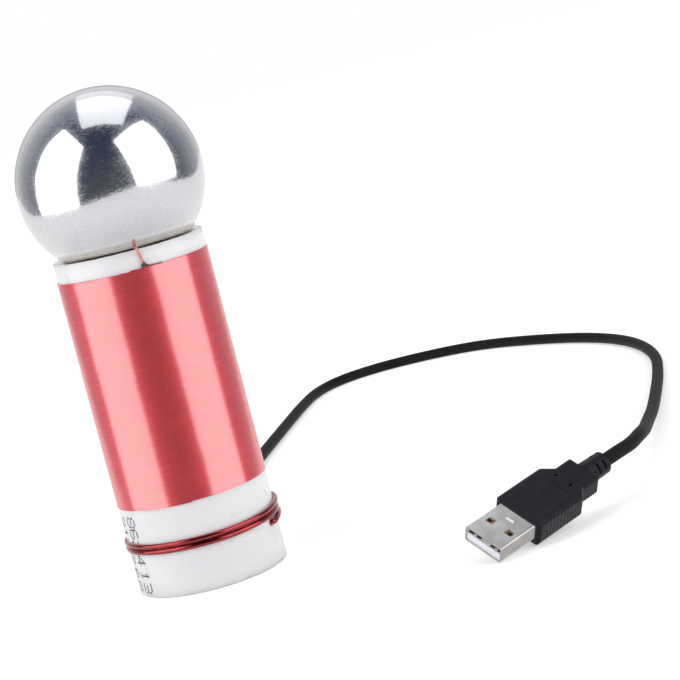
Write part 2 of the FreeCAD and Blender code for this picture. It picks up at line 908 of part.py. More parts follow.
def make_lamp():
    body = new_body("indicator_led")
    half = sketch_on(body, "XZ_Plane")
    outline(half, (
        ("0", "0"),
        ("lamp_flange / 2", "0"),
        ("lamp_flange / 2", "lamp_flange_height"),
        ("lamp_width / 2", "lamp_flange_height"),
        ("lamp_width / 2", "lamp_body", "lamp_width / 2", 1),
        ("0", "lamp_body + lamp_width / 2"),
    ))
    revolve(body, half)
    x, y = (share_of(share, "board_radius") for share in LAMP_PLACE_SHARES)
    place(body, x, y, "board_top + lamp_lift")
    return body


CORE_SIDES = {"power_wire_red": "-", "power_wire_black": ""}


def make_core(label, side):
    """One conductor of the lead, from the end of its jacket over the edge of the
    board and down to its pad."""
    start = Vector(*LEAD_ROUTE[0])
    x = size(side + "core_pitch / 2")
    pad_x = size(side + "core_pad_pitch / 2")
    rise = size("board_flat + core_gap + core_width / 2")
    top = size("board_top + core_rise")
    pad_y = size("board_flat - core_lap")
    return keep_shape(label, held_wire((
        (x, start.y, start.z),
        (x, rise, start.z),
        (x, rise, top),
        (pad_x, pad_y, top),
        (pad_x, pad_y, size("board_top + solder_gap")),
    ), "core_bend", "core_width"))


def solder_cone(number, x, y, wire_radius, below):
    """A cone of solder with the wire's bore, on the board or under it."""
    base = "board_base - solder_height" if below else "board_top"
    wide = f"{wire_radius} + solder_foot"
    narrow = f"{wire_radius} + solder_neck"
    cone = doc.addObject("Part::Cone", f"solder_cone_{number}")
    bind(cone, "Radius1", narrow if below else wide)
    bind(cone, "Radius2", wide if below else narrow)
    bind(cone, "Height", "solder_height")
    place(cone, x, y, base)
    bore = doc.addObject("Part::Cylinder", f"solder_bore_{number}")
    bind(bore, "Radius", f"{wire_radius} + solder_gap")
    bind(bore, "Height", "solder_height + 2 * overrun")
    place(bore, x, y, f"{base} - overrun")
    joint = doc.addObject("Part::Cut", f"solder_joint_{number}")
    joint.Base = cone
    joint.Tool = bore
    return joint


def make_solder():
    joints = []

    def add(x, y, wire_radius, below):
        joints.append(solder_cone(len(joints), x, y, wire_radius, below))

    for x, y in transistor_legs():
        add(x, y, "pin_width / 2 + leg_gap", True)
    for places in round_legs().values():
        for x, y in places:
            add(x, y, "leg_wire / 2", True)
    for side in CORE_SIDES.values():
        add(side + "core_pad_pitch / 2", "board_flat - core_lap", "core_width / 2", False)
    stands = (
        ("root_azimuth", "bore_radius - root_inset", "tail_wire / 2"),
        ("band_start_azimuth", "bore_radius - band_inset", "band_wire / 2"),
        ("band_end_azimuth", "bore_radius - band_inset", "band_wire / 2"),
    )
    for azimuth, radius, wire_radius in stands:
        add(f"({radius}) * sin({azimuth} * 1 deg)", f"-({radius}) * cos({azimuth} * 1 deg)",
            wire_radius, False)
    group = doc.addObject("Part::Compound", "solder_joints")
    group.Links = joints
    return group


# usb lead, tie and plug

def make_tie():
    body = new_body("cable_tie")
    ring = sketch_on(body, "XZ_Plane", lift="-tie_start")
    circle(ring, "0", "cable_height", "tie_inner + tie_thick")
    circle(ring, "0", "cable_height", "tie_inner")
    pad(body, ring, "tie_width", reverse=True)
    head = sketch_on(body, "XZ_Plane", lift="-tie_start")
    head_base = "cable_height + tie_inner + tie_thick / 2"
    rectangle(head, "-tie_head_width / 2", "tie_head_width / 2",
              head_base, head_base + " + tie_head_height")
    pad(body, head, "tie_width", reverse=True)
    tail = sketch_on(body, "XZ_Plane", lift="-tie_start")
    rectangle(tail, "tie_head_width / 2 - 2 * tie_thick", "tie_head_width / 2 - tie_thick",
              head_base, head_base + " + tie_head_height + tie_tail")
    pad(body, tail, "tie_width", reverse=True)
    return body


def make_lead():
    edges, radii = bent_path([Vector(*point) for point in LEAD_ROUTE])
    radius = size("cable_width / 2")
    lead = tube_along(edges, radius)
    length = Part.Wire(edges).Length
    share = lead.Volume / (math.pi * radius ** 2 * length)
    print("lead length", round(length, 1), "volume against section times length", round(share, 4))
    print("lead radii", [round(r) for r in radii])
    return keep_shape("usb_cable", lead)


def plug_pose():
    """The plug lies in line with the end of the lead, tail face on the end of the
    jacket, and is rolled over onto its lower right edge."""
    end = Vector(*LEAD_ROUTE[-1])
    back = (Vector(*LEAD_ROUTE[-2]) - end).normalize()
    level_left = Vector(0, 0, 1).cross(back).normalize()
    level_up = back.cross(level_left)
    roll = math.radians(size("plug_roll"))
    left = level_left * math.cos(roll) + level_up * math.sin(roll)
    up = level_up * math.cos(roll) - level_left * math.sin(roll)
    return Placement(end - back * size("relief_end"), Rotation(back, left, up, "XYZ"))


def make_shell():
    body = new_body("plug_shell")
    section = sketch_on(body, "YZ_Plane")
    rectangle(section, "-shell_width / 2", "shell_width / 2", "-shell_height / 2", "shell_height / 2")
    block = pad(body, section, "shell_free + shell_hidden")

    def runs_along(edge):
        return edge.BoundBox.XLength > size("shell_free")

    soften(body, "Fillet", block, runs_along, "shell_corner")
    hollow = sketch_on(body, "YZ_Plane", lift="-overrun")
    rectangle(hollow, "-shell_width / 2 + shell_wall", "shell_width / 2 - shell_wall",
              "-shell_height / 2 + shell_wall", "shell_height / 2 - shell_wall")
    pocket(body, hollow, "shell_free + shell_hidden + 2 * overrun", reverse=True)
    windows = sketch_on(body, "XY_Plane")
    for side in ("", "-"):
        near = f"{side}window_inset"
        far = f"{side}(window_inset + window_width)"
        rectangle(windows, "window_start", "window_start + window_length", near, far)
    pocket(body, windows, "shell_height + 2 * overrun", symmetric=True)
    latch = sketch_on(body, "XY_Plane")
    rectangle(latch, "latch_start", "latch_start + latch_width",
              "-latch_length / 2", "latch_length / 2")
    pocket(body, latch, "shell_height / 2 + overrun", reverse=True)
    seam = sketch_on(body, "XY_Plane")
    rectangle(seam, "-overrun", "shell_free + shell_hidden + overrun",
              "-seam_width / 2", "seam_width / 2")
    pocket(body, seam, "shell_height / 2 + overrun")
    return body


def make_tongue():
    body = new_body("plug_tongue")
    section = sketch_on(body, "YZ_Plane", lift="tongue_recess")
    half = "(shell_width / 2 - shell_wall - tongue_gap)"
    rectangle(section, "-" + half, half, "-shell_height / 2 + shell_wall + tongue_gap", "tongue_top")
    pad(body, section, "shell_free + shell_hidden - tongue_recess")
    return body


def make_contacts():
    body = new_body("plug_contacts")
    strips = sketch_on(body, "XY_Plane", lift="tongue_top")
    for pitch, start in (("contact_outer_pitch", "contact_outer_start"),
                         ("contact_inner_pitch", "contact_inner_start")):
        for side in ("", "-"):
            middle = f"{side}{pitch} / 2"
            rectangle(strips, start, "contact_end",
                      f"{middle} - contact_width / 2", f"{middle} + contact_width / 2")
    pad(body, strips, "contact_thick")
    return body


def make_mould():
    """Block with sloping shoulders, a narrower neck, and a round tail with slots
    that let it flex. The shell is set into its front."""
    body = new_body("plug_overmould")
    plan = sketch_on(body, "XY_Plane")
    shoulder = "shell_free + mould_length"
    outline(plan, (
        ("shell_free", "-mould_width / 2"),
        (shoulder, "-mould_width / 2"),
        ("shoulder_end", "-neck_width / 2"),
        ("shoulder_end", "neck_width / 2"),
        (shoulder, "mould_width / 2"),
        ("shell_free", "mould_width / 2"),
    ))
    block = pad(body, plan, "mould_height", symmetric=True)
    front = size("shell_free")
    rear = size("shoulder_end")

    def outer_edge(edge):
        box = edge.BoundBox
        on_front = box.XMax < front + NEARLY
        on_rear = box.XMin > rear - NEARLY
        return not on_rear and not (on_front and box.ZLength < NEARLY)

    soften(body, "Fillet", block, outer_edge, "mould_round")
    neck_face = sketch_on(body, "YZ_Plane", lift="shoulder_end")
    wide = "(neck_width / 2)"
    tall = "(neck_height / 2)"
    outline(neck_face, (
        (f"-{wide} + neck_round", f"-{tall}"),
        (f"{wide} - neck_round", f"-{tall}", "neck_round", 1),
        (wide, f"-{tall} + neck_round"),
        (wide, f"{tall} - neck_round", "neck_round", 1),
        (f"{wide} - neck_round", tall),
        (f"-{wide} + neck_round", tall, "neck_round", 1),
        (f"-{wide}", f"{tall} - neck_round"),
        (f"-{wide}", f"-{tall} + neck_round", "neck_round", 1),
    ))
    pad(body, neck_face, "neck_length")
    tail_face = sketch_on(body, "YZ_Plane", lift="neck_end")
    circle(tail_face, "0", "0", "relief_front / 2")
    slope = math.degrees(math.atan(size("(relief_front - relief_rear) / 2") / size("relief_length")))
    pad(body, tail_face, "relief_length", taper=-slope)
    seat = sketch_on(body, "YZ_Plane", lift="shell_free - overrun")
    rectangle(seat, "-shell_width / 2 - mould_fit", "shell_width / 2 + mould_fit",
              "-shell_height / 2 - mould_fit", "shell_height / 2 + mould_fit")
    pocket(body, seat, "shell_hidden + mould_fit + overrun", reverse=True)
    panel = sketch_on(body, "XY_Plane", lift="mould_height / 2 - panel_depth")
    panel_rear = "shell_free + panel_end"
    bow_radius = "(panel_width^2 / (8 * panel_bow) + panel_bow / 2)"
    outline(panel, (
        ("shell_free + panel_start", "-panel_width / 2"),
        (panel_rear, "-panel_width / 2", bow_radius, -1),
        (panel_rear, "panel_width / 2"),
        ("shell_free + panel_start", "panel_width / 2"),
    ))
    pocket(body, panel, "panel_depth + overrun", reverse=True)
    dots = sketch_on(body, "XY_Plane", lift="mould_height / 2 - dot_depth")
    for side in ("", "-"):
        circle(dots, "shell_free + dot_end", f"{side}dot_pitch / 2", "dot_width / 2")
    pocket(body, dots, "dot_depth + overrun", reverse=True)
    for level, upward, sides in (("relief_web / 2", True, ("-", "", "-", "")),
                                 ("-relief_web / 2", False, ("", "-", "", "-"))):
        slots = sketch_on(body, "XY_Plane", lift=level)
        for number, side in enumerate(sides):
            start = f"neck_end + relief_plain + {number} * relief_slot_pitch"
            rectangle(slots, start, start + " + relief_slot",
                      f"{side}relief_spine / 2", f"{side}relief_front")
        pocket(body, slots, "relief_front", reverse=upward)
    core = sketch_on(body, "YZ_Plane", lift="neck_end")
    circle(core, "0", "0", "relief_core / 2")
    pad(body, core, "relief_length")
    return body


def make_parts():
    parts = [
        make_tube(),
        make_ball(),
        make_secondary(),
        make_top_tail(),
        make_bottom_tail(),
        make_primary(),
        make_disc(),
        make_spacers(),
        make_board_screws(),
        make_board(),
        make_transistor_case(),
        make_transistor_tab(),
        make_transistor_legs(),
        make_heat_sink(),
        make_clamp_screw(),
        make_can(),
        make_straight_legs("capacitor_leads", round_legs()["can"], "can_lift"),
        make_resistor(),
        make_resistor_legs(),
        make_lamp(),
        make_straight_legs("led_leads", round_legs()["lamp"], "lamp_lift"),
        make_solder(),
        make_tie(),
        make_lead(),
    ]
    parts += [make_core(label, side) for label, side in CORE_SIDES.items()]
    plug = [make_shell(), make_tongue(), make_contacts(), make_mould()]
    for piece in plug:
        piece.Placement = plug_pose()
    return parts + plug


parts = make_parts()
doc.recompute()
for thing in doc.Objects:
    if "Invalid" in thing.State or "Error" in thing.State:
        raise RuntimeError(f"{thing.Label} failed: {thing.State}")
for part in parts:
    if part.Shape.isNull() or not part.Shape.isValid():
        raise RuntimeError(f"{part.Label} has no valid shape")

os.makedirs("parts", exist_ok=True)
for part in parts:
    part.Shape.exportStep(f"parts/{part.Label}.step")
    print(part.Label, len(part.Shape.Solids), round(part.Shape.Volume, 2))
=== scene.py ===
import math
import random

import bpy
from mathutils import Matrix, Vector


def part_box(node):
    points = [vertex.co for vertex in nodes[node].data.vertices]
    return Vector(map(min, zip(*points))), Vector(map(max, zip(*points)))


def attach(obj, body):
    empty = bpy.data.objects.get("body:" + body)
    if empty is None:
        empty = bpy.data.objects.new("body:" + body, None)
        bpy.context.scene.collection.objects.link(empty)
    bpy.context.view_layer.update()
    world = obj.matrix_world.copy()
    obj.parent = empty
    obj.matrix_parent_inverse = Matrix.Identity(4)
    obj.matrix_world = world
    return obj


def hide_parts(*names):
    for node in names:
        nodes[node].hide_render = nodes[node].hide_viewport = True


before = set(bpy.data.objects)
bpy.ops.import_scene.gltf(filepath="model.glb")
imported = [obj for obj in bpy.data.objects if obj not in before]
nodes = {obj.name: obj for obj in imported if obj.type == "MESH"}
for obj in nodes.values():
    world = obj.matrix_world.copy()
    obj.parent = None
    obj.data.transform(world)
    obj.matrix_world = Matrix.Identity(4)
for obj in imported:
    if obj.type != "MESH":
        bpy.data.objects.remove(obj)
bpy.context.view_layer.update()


# Camera and studio
# The camera looks a little down on the tube and is rolled. Two tall soft boxes stand
# left and right in front and two hang overhead, the room in front is dark, and the
# white sheet under the object ends near the front and looks evenly lit in mirrors.

bpy.ops.object.camera_add(
    location=(0, -0.60756, 0.14427),
    rotation=(math.radians(81.266), math.radians(14.0228), math.radians(-6.7946)),
)
camera = bpy.context.object
camera.data.lens = 118.92
camera.data.clip_start = 0.01
camera.data.clip_end = 50
bpy.context.scene.camera = camera


def soft_box(name, place, turn, width, height, radiance):
    """A rectangular lamp that the camera doesn't see."""
    bpy.ops.object.light_add(type="AREA", location=place, rotation=[math.radians(a) for a in turn])
    lamp = bpy.context.object
    lamp.name = name
    lamp.data.shape = "RECTANGLE"
    lamp.data.size = width
    lamp.data.size_y = height
    lamp.data.energy = radiance * math.pi * width * height
    lamp.visible_camera = False


soft_box("left_soft_box", (-0.698, -0.352, 0.569), (80.8, 7.2, -80.9), 0.997, 1.532, 2.0)
soft_box("right_soft_box", (0.693, -0.448, 0.471), (76.5, 0, 56.3), 1.02, 1.154, 2.0)
soft_box("top_soft_box", (0.16, 0.19, 1.01), (0, 0, -5), 0.68, 0.90, 1.25)
soft_box("back_soft_box", (0.20, 0.87, 1.01), (0, 0, -5), 0.68, 0.46, 0.55)


def ramp(tree, factor, stops):
    """Colours by factor. Each stop is a position and a colour."""
    node = tree.nodes.new("ShaderNodeValToRGB")
    elements = node.color_ramp.elements
    for element, (place, colour) in zip(elements, (stops[0], stops[-1])):
        element.position = place
        element.color = (*colour, 1)
    for place, colour in stops[1:-1]:
        elements.new(place).color = (*colour, 1)
    tree.links.new(factor, node.inputs["Fac"])
    return node.outputs["Color"]


def spread(tree, factor, low, high, start=0.3, end=0.7):
    """A number that runs from low to high as the factor runs from start to end."""
    node = tree.nodes.new("ShaderNodeMapRange")
    node.inputs["From Min"].default_value = start
    node.inputs["From Max"].default_value = end
    node.inputs["To Min"].default_value = low
    node.inputs["To Max"].default_value = high
    tree.links.new(factor, node.inputs["Value"])
    return node.outputs[0]


def combine(tree, kind, first, second):
    """One number from two sockets, or from a socket and a number."""
    node = tree.nodes.new("ShaderNodeMath")
    node.operation = kind
    tree.links.new(first, node.inputs[0])
    if isinstance(second, (int, float)):
        node.inputs[1].default_value = second
    else:
        tree.links.new(second, node.inputs[1])
    return node.outputs[0]


def blend_colours(tree, factor, first, second, kind="MIX"):
    """One colour from two sockets. The factor is a socket or a number."""
    node = tree.nodes.new("ShaderNodeMix")
    node.data_type = "RGBA"
    node.blend_type = kind
    if isinstance(factor, (int, float)):
        node.inputs[0].default_value = factor
    else:
        tree.links.new(factor, node.inputs[0])
    tree.links.new(first, node.inputs[6])
    if isinstance(second, tuple):
        node.inputs[7].default_value = (*second, 1)
    else:
        tree.links.new(second, node.inputs[7])
    return node.outputs[2]


def seen_rays(tree, *kinds):
    """One for the named kinds of ray and nought for the rest."""
    rays = tree.nodes.new("ShaderNodeLightPath")
    found = rays.outputs[kinds[0]]
    for kind in kinds[1:]:
        found = combine(tree, "MAXIMUM", found, rays.outputs[kind])
    return found


world = bpy.data.worlds.new("studio")
bpy.context.scene.world = world
world.use_nodes = True
tree = world.node_tree
direction = tree.nodes.new("ShaderNodeTexCoord")
split = tree.nodes.new("ShaderNodeSeparateXYZ")
tree.links.new(direction.outputs["Generated"], split.inputs[0])
height = spread(tree, split.outputs["Z"], 0, 1, -0.1, 0.9)
dark_front = ramp(tree, height,
                  ((0.1, (0.09, 0.095, 0.115)), (0.5, (0.065, 0.073, 0.105)),
                   (0.9, (0.03, 0.04, 0.08))))
pale_back = ramp(tree, split.outputs["Y"],
                 ((0.0, (0.10, 0.115, 0.16)), (0.28, (0.21, 0.225, 0.27)), (0.55, (0.38, 0.385, 0.42)),
                  (0.65, (0.44, 0.44, 0.46)), (0.73, (0.54, 0.54, 0.56)), (0.85, (0.69, 0.69, 0.71)),
                  (0.92, (0.76, 0.76, 0.77)), (1.0, (0.35, 0.35, 0.36))))
lighter_above = spread(tree, split.outputs["Z"], 1, 1.2, 0.2, 0.5)
pale_back = blend_colours(tree, 1.0, pale_back, lighter_above, "MULTIPLY")
behind = spread(tree, split.outputs["Y"], 0, 1, -0.1, 0.15)
room = blend_colours(tree, behind, dark_front, pale_back)
seen_straight = seen_rays(tree, "Is Camera Ray", "Is Transmission Ray")
background = blend_colours(tree, seen_straight, room, (1.0, 1.0, 1.0))
tree.links.new(background, tree.nodes["Background"].inputs["Color"])

bpy.context.scene.view_settings.view_transform = "Standard"

bpy.ops.object.select_all(action="DESELECT")
bpy.ops.mesh.primitive_circle_add(vertices=12, radius=1, fill_type="NGON")
table = bpy.context.object
table.name = "table"
corners = ((-0.3, -0.19), (-0.19, -0.40), (0, -0.50), (0.28, -0.60), (0.44, -0.28), (0.45, -0.03),
           (0.52, 0.3), (2.5, 4), (-2.5, 4), (-0.52, 0.3), (-0.44, 0), (-0.38, -0.1))
for vertex, (x, y) in zip(table.data.vertices, corners):
    vertex.co = (x, y, 0)
if table.data.polygons[0].normal.z < 0:
    table.data.flip_normals()
paper = bpy.data.materials.new("table_paper")
paper.use_nodes = True
tree = paper.node_tree
shader = tree.nodes["Principled BSDF"]
shader.inputs["Roughness"].default_value = 0.9
shader.inputs["Specular IOR Level"].default_value = 0.1
shader.inputs["Emission Color"].default_value = (1, 1, 1, 1)
place = tree.nodes.new("ShaderNodeTexCoord")
away = tree.nodes.new("ShaderNodeVectorMath")
away.operation = "LENGTH"
tree.links.new(place.outputs["Object"], away.inputs[0])
fading_out = spread(tree, away.outputs["Value"], 0.36, 1.0, 0.15, 0.9)
seen = combine(tree, "MULTIPLY", fading_out, seen_rays(tree, "Is Camera Ray", "Is Transmission Ray"))
in_mirror = seen_rays(tree, "Is Glossy Ray")
sheet_white = tree.nodes.new("ShaderNodeRGB")
sheet_white.outputs[0].default_value = (0.87, 0.865, 0.86, 1)
sheet_colour = blend_colours(tree, in_mirror, sheet_white.outputs[0], (0, 0, 0))
tree.links.new(sheet_colour, shader.inputs["Base Color"])
even_sheet = spread(tree, away.outputs["Value"], 0.8, 1.02, 0.03, 0.16)
mirrored = combine(tree, "MULTIPLY", even_sheet, in_mirror)
tree.links.new(combine(tree, "ADD", seen, mirrored), shader.inputs["Emission Strength"])
table.data.materials.append(paper)


# Usb lead
# Round jacket of soft black plastic, 3.7 mm, over two conductors. It leaves the
# back of the tube, drops to the table, swings round to the right and rises a
# little to the plug, which leans on one edge.

LEAD_WIDTH = 0.0037
LEAD_POINTS = (
    (0, 14.5, 6.2), (0, 27, 6.2), (1.2, 42, 3.6), (5, 62, 1.9), (13, 93, 1.9),
    (24.6, 134, 1.9), (36.4, 174, 1.9), (48.6, 214.5, 1.9), (56.2, 233.4, 1.9),
    (67.6, 245.6, 1.9), (84.2, 250, 1.9), (103.5, 247.3, 1.9), (121.6, 239.3, 1.9),
    (138.2, 220.2, 1.9), (154.6, 194, 1.9), (163.6, 164, 1.9), (163.1, 129.2, 1.9),
    (154.6, 94.4, 2.1), (145.2, 61.8, 2.9), (137, 33.4, 4.3), (130, 10.4, 6.6),
    (125.1, -7.4, 8.9), (121.6, -20.2, 11.1), (118.3, -29.3, 12.4),
    (114.6, -36.3, 12.4), (109.25, -41.69, 12.34), (104.21, -44.83, 11.48),
)


def wire_curve(name, points, width, rings=6, sides=8):
    """A round wire along a smooth line drawn towards the points, in millimetres."""
    curve = bpy.data.curves.new(name, "CURVE")
    curve.dimensions = "3D"
    curve.resolution_u = rings
    curve.bevel_depth = width / 2
    curve.bevel_resolution = sides
    curve.use_fill_caps = True
    spline = curve.splines.new("NURBS")
    spline.points.add(len(points) - 1)
    for point, place in zip(spline.points, points):
        point.co = (*[v / 1000 for v in place], 1)
    spline.order_u = 3
    spline.use_endpoint_u = True
    wire = bpy.data.objects.new(name, curve)
    bpy.context.collection.objects.link(wire)
    return wire


def finish_material(name, colour, roughness, metallic=0.0, coat=0.0):
    """A material with its shader, to which sections add their own detail."""
    material = bpy.data.materials.new(name)
    material.use_nodes = True
    shader = material.node_tree.nodes["Principled BSDF"]
    shader.inputs["Base Color"].default_value = (*colour, 1)
    shader.inputs["Roughness"].default_value = roughness
    shader.inputs["Metallic"].default_value = metallic
    shader.inputs["Coat Weight"].default_value = coat
    return material, material.node_tree, shader


def noise_on_object(tree, scale, stretch=(1, 1, 1), detail=3.0):
    """Noise in object space. Scale counts features per metre."""
    place = tree.nodes.new("ShaderNodeTexCoord")
    mapping = tree.nodes.new("ShaderNodeMapping")
    mapping.inputs["Scale"].default_value = stretch
    noise = tree.nodes.new("ShaderNodeTexNoise")
    noise.inputs["Scale"].default_value = scale
    noise.inputs["Detail"].default_value = detail
    tree.links.new(place.outputs["Object"], mapping.inputs["Vector"])
    tree.links.new(mapping.outputs["Vector"], noise.inputs["Vector"])
    return noise.outputs["Fac"]


def shade_between(tree, shader, factor, dark, light):
    """Base colour from the dark shade to the light one, by a noise."""
    tree.links.new(ramp(tree, factor, ((0.3, dark), (0.7, light))), shader.inputs["Base Color"])


def vary_roughness(tree, shader, factor, low, high):
    """Roughness from low to high, by a noise."""
    tree.links.new(spread(tree, factor, low, high), shader.inputs["Roughness"])


def relief(tree, shader, height, depth, strength=1.0):
    """Bump whose full height is the depth in metres."""
    node = tree.nodes.new("ShaderNodeBump")
    node.inputs["Strength"].default_value = strength
    node.inputs["Distance"].default_value = depth
    tree.links.new(height, node.inputs["Height"])
    before = shader.inputs["Normal"].links
    if before:
        tree.links.new(before[0].from_socket, node.inputs["Normal"])
    tree.links.new(node.outputs["Normal"], shader.inputs["Normal"])


usb_lead = wire_curve("usb_lead", LEAD_POINTS, LEAD_WIDTH, rings=10, sides=7)
jacket, tree, shader = finish_material("lead_jacket", (0.004, 0.004, 0.005), 0.65)
shader.inputs["IOR"].default_value = 1.28
shade_between(tree, shader, noise_on_object(tree, 160), (0.003, 0.003, 0.004), (0.006, 0.006, 0.007))
vary_roughness(tree, shader, noise_on_object(tree, 900), 0.58, 0.72)
relief(tree, shader, noise_on_object(tree, 300, detail=2), 0.00006, 0.5)
relief(tree, shader, noise_on_object(tree, 2500), 0.00002, 0.35)
usb_lead.data.materials.append(jacket)
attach(usb_lead, "stand")
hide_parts("usb_cable")
plug_nodes = [nodes[name] for name in ("plug_overmould", "plug_shell", "plug_tongue", "plug_contacts")]
# the ball mirrors the bare sheet, without the lead and its plug
for piece in (usb_lead, *plug_nodes):
    piece.visible_glossy = False


# Tube
# Length of white plastic pressure pipe, sawn by hand, so that the foot wanders by
# half a millimetre and both ends carry a burr. Small holes take the winding's
# tails, larger ones the thick winding and the lead.

TUBE_RADIUS = 0.02075
TUBE_WALL = 0.00225
TUBE_LENGTH = 0.0935
SAW_CHAMFER = 0.00012
# each step up the wall is a rise and a change of radius, in metres
WALL_STEPS = ((0.00015, SAW_CHAMFER), (0.0008, 0), (0.02285, 0), (0.0655, 0), (0.0038, 0),
              (0.00022, 0), (0.00018, -0.00016))
# each hole is an azimuth in degrees, and a height and a width in millimetres
WALL_HOLES = ((8.0, 88.8, 1.6), (-2.9, 25.3, 0.9), (62.4, 11.4, 2.1), (127.6, 15.64, 2.1),
              (180, 6.2, 4.1))
WAVES = 6
NICKS = 46
FOOT_ZONE = 0.0012
RIM_ZONE = 0.001


def at_azimuth(azimuth, radius, height):
    """A point in millimetres or metres. The azimuth counts from the front to the right."""
    angle = math.radians(azimuth)
    return (radius * math.sin(angle), -radius * math.cos(angle), height)


def only(piece):
    bpy.ops.object.select_all(action="DESELECT")
    piece.select_set(True)
    bpy.context.view_layer.objects.active = piece


def join_all(pieces, name):
    """Joins the pieces into the first of them, under a new name."""
    only(pieces[0])
    for piece in pieces:
        piece.select_set(True)
    bpy.ops.object.join()
    pieces[0].name = name
    return pieces[0]


def settle(piece):
    """Puts the piece's place, turn and scale into its mesh."""
    only(piece)
    bpy.ops.object.transform_apply(location=True, rotation=True, scale=True)


def apply_modifier(piece, kind, **settings):
    only(piece)
    modifier = piece.modifiers.new(kind.lower(), kind)
    for name, value in settings.items():
        setattr(modifier, name, value)
    bpy.ops.object.modifier_apply(modifier=modifier.name)


def hump(angle, middle, reach):
    """Falls from one at the middle angle to nought beyond the reach, in degrees."""
    off = abs((angle - middle + 180) % 360 - 180) / reach
    return 0 if off > 1 else (1 - off * off) ** 2


bpy.ops.object.select_all(action="DESELECT")
bpy.ops.mesh.primitive_circle_add(vertices=240, radius=TUBE_RADIUS - SAW_CHAMFER, fill_type="NOTHING")
tube = bpy.context.object
tube.name = "plastic_tube"
bpy.ops.object.mode_set(mode="EDIT")
bpy.ops.mesh.select_all(action="SELECT")
for rise, grow in WALL_STEPS:
    factor = 1 + grow / TUBE_RADIUS
    bpy.ops.mesh.extrude_region_move(TRANSFORM_OT_translate={"value": (0, 0, rise)})
    bpy.ops.transform.resize(value=(factor, factor, 1))
bpy.ops.mesh.select_all(action="SELECT")
bpy.ops.mesh.normals_make_consistent(inside=False)
bpy.ops.object.mode_set(mode="OBJECT")
random.seed(4)
waves = [(random.randint(3, 9), random.uniform(0, 6.28), random.uniform(0.2, 1)) for wave in range(WAVES)]
nicks = [(random.uniform(-180, 180), random.uniform(1, 4), random.uniform(0.06, 0.2))
         for nick in range(NICKS)]
for vertex in tube.data.vertices:
    angle = math.degrees(math.atan2(vertex.co.x, -vertex.co.y))
    sway = sum(size * math.sin(count * math.radians(angle) + start) for count, start, size in waves) / WAVES
    if vertex.co.z < FOOT_ZONE:
        lift = 0.05 + 0.08 * max(-1, sway * 1.4) + 0.28 * hump(angle, 27, 10) + 0.55 * hump(angle, 59, 9)
        lift += sum(size * hump(angle, place, reach) for place, reach, size in nicks)
        lift -= 0.05 * hump(angle, -20, 60) + 0.04 * hump(angle, 100, 30)
        vertex.co.z += max(0, lift) / 1000
    if vertex.co.z > TUBE_LENGTH - RIM_ZONE:
        burr = sum(size * hump(angle, -place, reach) for place, reach, size in nicks)
        vertex.co.z += (0.03 * sway - 0.03 - 0.25 * burr) / 1000
apply_modifier(tube, "SOLIDIFY", thickness=TUBE_WALL, offset=-1, use_even_offset=True)
holes = []
for azimuth, height, width in WALL_HOLES:
    bpy.ops.object.select_all(action="DESELECT")
    bpy.ops.mesh.primitive_cylinder_add(
        vertices=32, radius=width / 2000, depth=0.008,
        location=[v / 1000 for v in at_azimuth(azimuth, 19.6, height)],
        rotation=(math.radians(90), 0, math.radians(azimuth)))
    holes.append(bpy.context.object)
drill = join_all(holes, "drill")
apply_modifier(tube, "BOOLEAN", object=drill, operation="DIFFERENCE", solver="EXACT")
bpy.data.objects.remove(drill)
only(tube)
bpy.ops.object.shade_smooth_by_angle(angle=math.radians(35))
pipe_white, tree, shader = finish_material("tube_plastic", (0.93, 0.925, 0.905), 0.3, coat=0.15)
shader.inputs["Subsurface Weight"].default_value = 0.7
shader.inputs["Subsurface Radius"].default_value = (1.0, 0.97, 0.92)
shader.inputs["Subsurface Scale"].default_value = 0.003
shader.inputs["Coat Roughness"].default_value = 0.15
place = tree.nodes.new("ShaderNodeTexCoord")
split = tree.nodes.new("ShaderNodeSeparateXYZ")
tree.links.new(place.outputs["Object"], split.inputs[0])
glow_at_rim = spread(tree, split.outputs["Z"], 0.003, 0.012, 0.0915, 0.0934)
tree.links.new(glow_at_rim, shader.inputs["Subsurface Scale"])
clean = ramp(tree, noise_on_object(tree, 55, detail=5),
             ((0.3, (0.95, 0.94, 0.91)), (0.7, (0.98, 0.97, 0.945))))
specks = ramp(tree, noise_on_object(tree, 1100, detail=1),
              ((0.19, (0.3, 0.28, 0.25)), (0.225, (1, 1, 1))))
tree.links.new(blend_colours(tree, 0.45, clean, specks, "MULTIPLY"), shader.inputs["Base Color"])
vary_roughness(tree, shader, noise_on_object(tree, 300), 0.26, 0.38)
relief(tree, shader, noise_on_object(tree, 700, (1, 1, 0.15)), 0.000006, 0.4)
tube.data.materials.append(pipe_white)
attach(tube, "stand")
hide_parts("tube")


# Printed figures
# Plain figures of grey ink that a dot printer leaves along the pipe as it is
# drawn. They were cut through when the pipe was sawn to length.

INK_DOT = 0.00034
DOT_PITCH = 0.62
INK_RADIUS = 20.741
SAW_LINE = 0.9
FIGURES = {
    "1": ("00100", "01100", "00100", "00100", "00100", "00100", "01110"),
    "2": ("01110", "10001", "00001", "00110", "01000", "10000", "11111"),
    "3": ("11110", "00001", "00001", "01110", "00001", "00001", "11110"),
    "4": ("00010", "00110", "01010", "10010", "11111", "00010", "00010"),
    "6": ("01110", "10000", "10000", "11110", "10001", "10001", "01110"),
    "8": ("01110", "10001", "10001", "01110", "10001", "10001", "01110"),
}
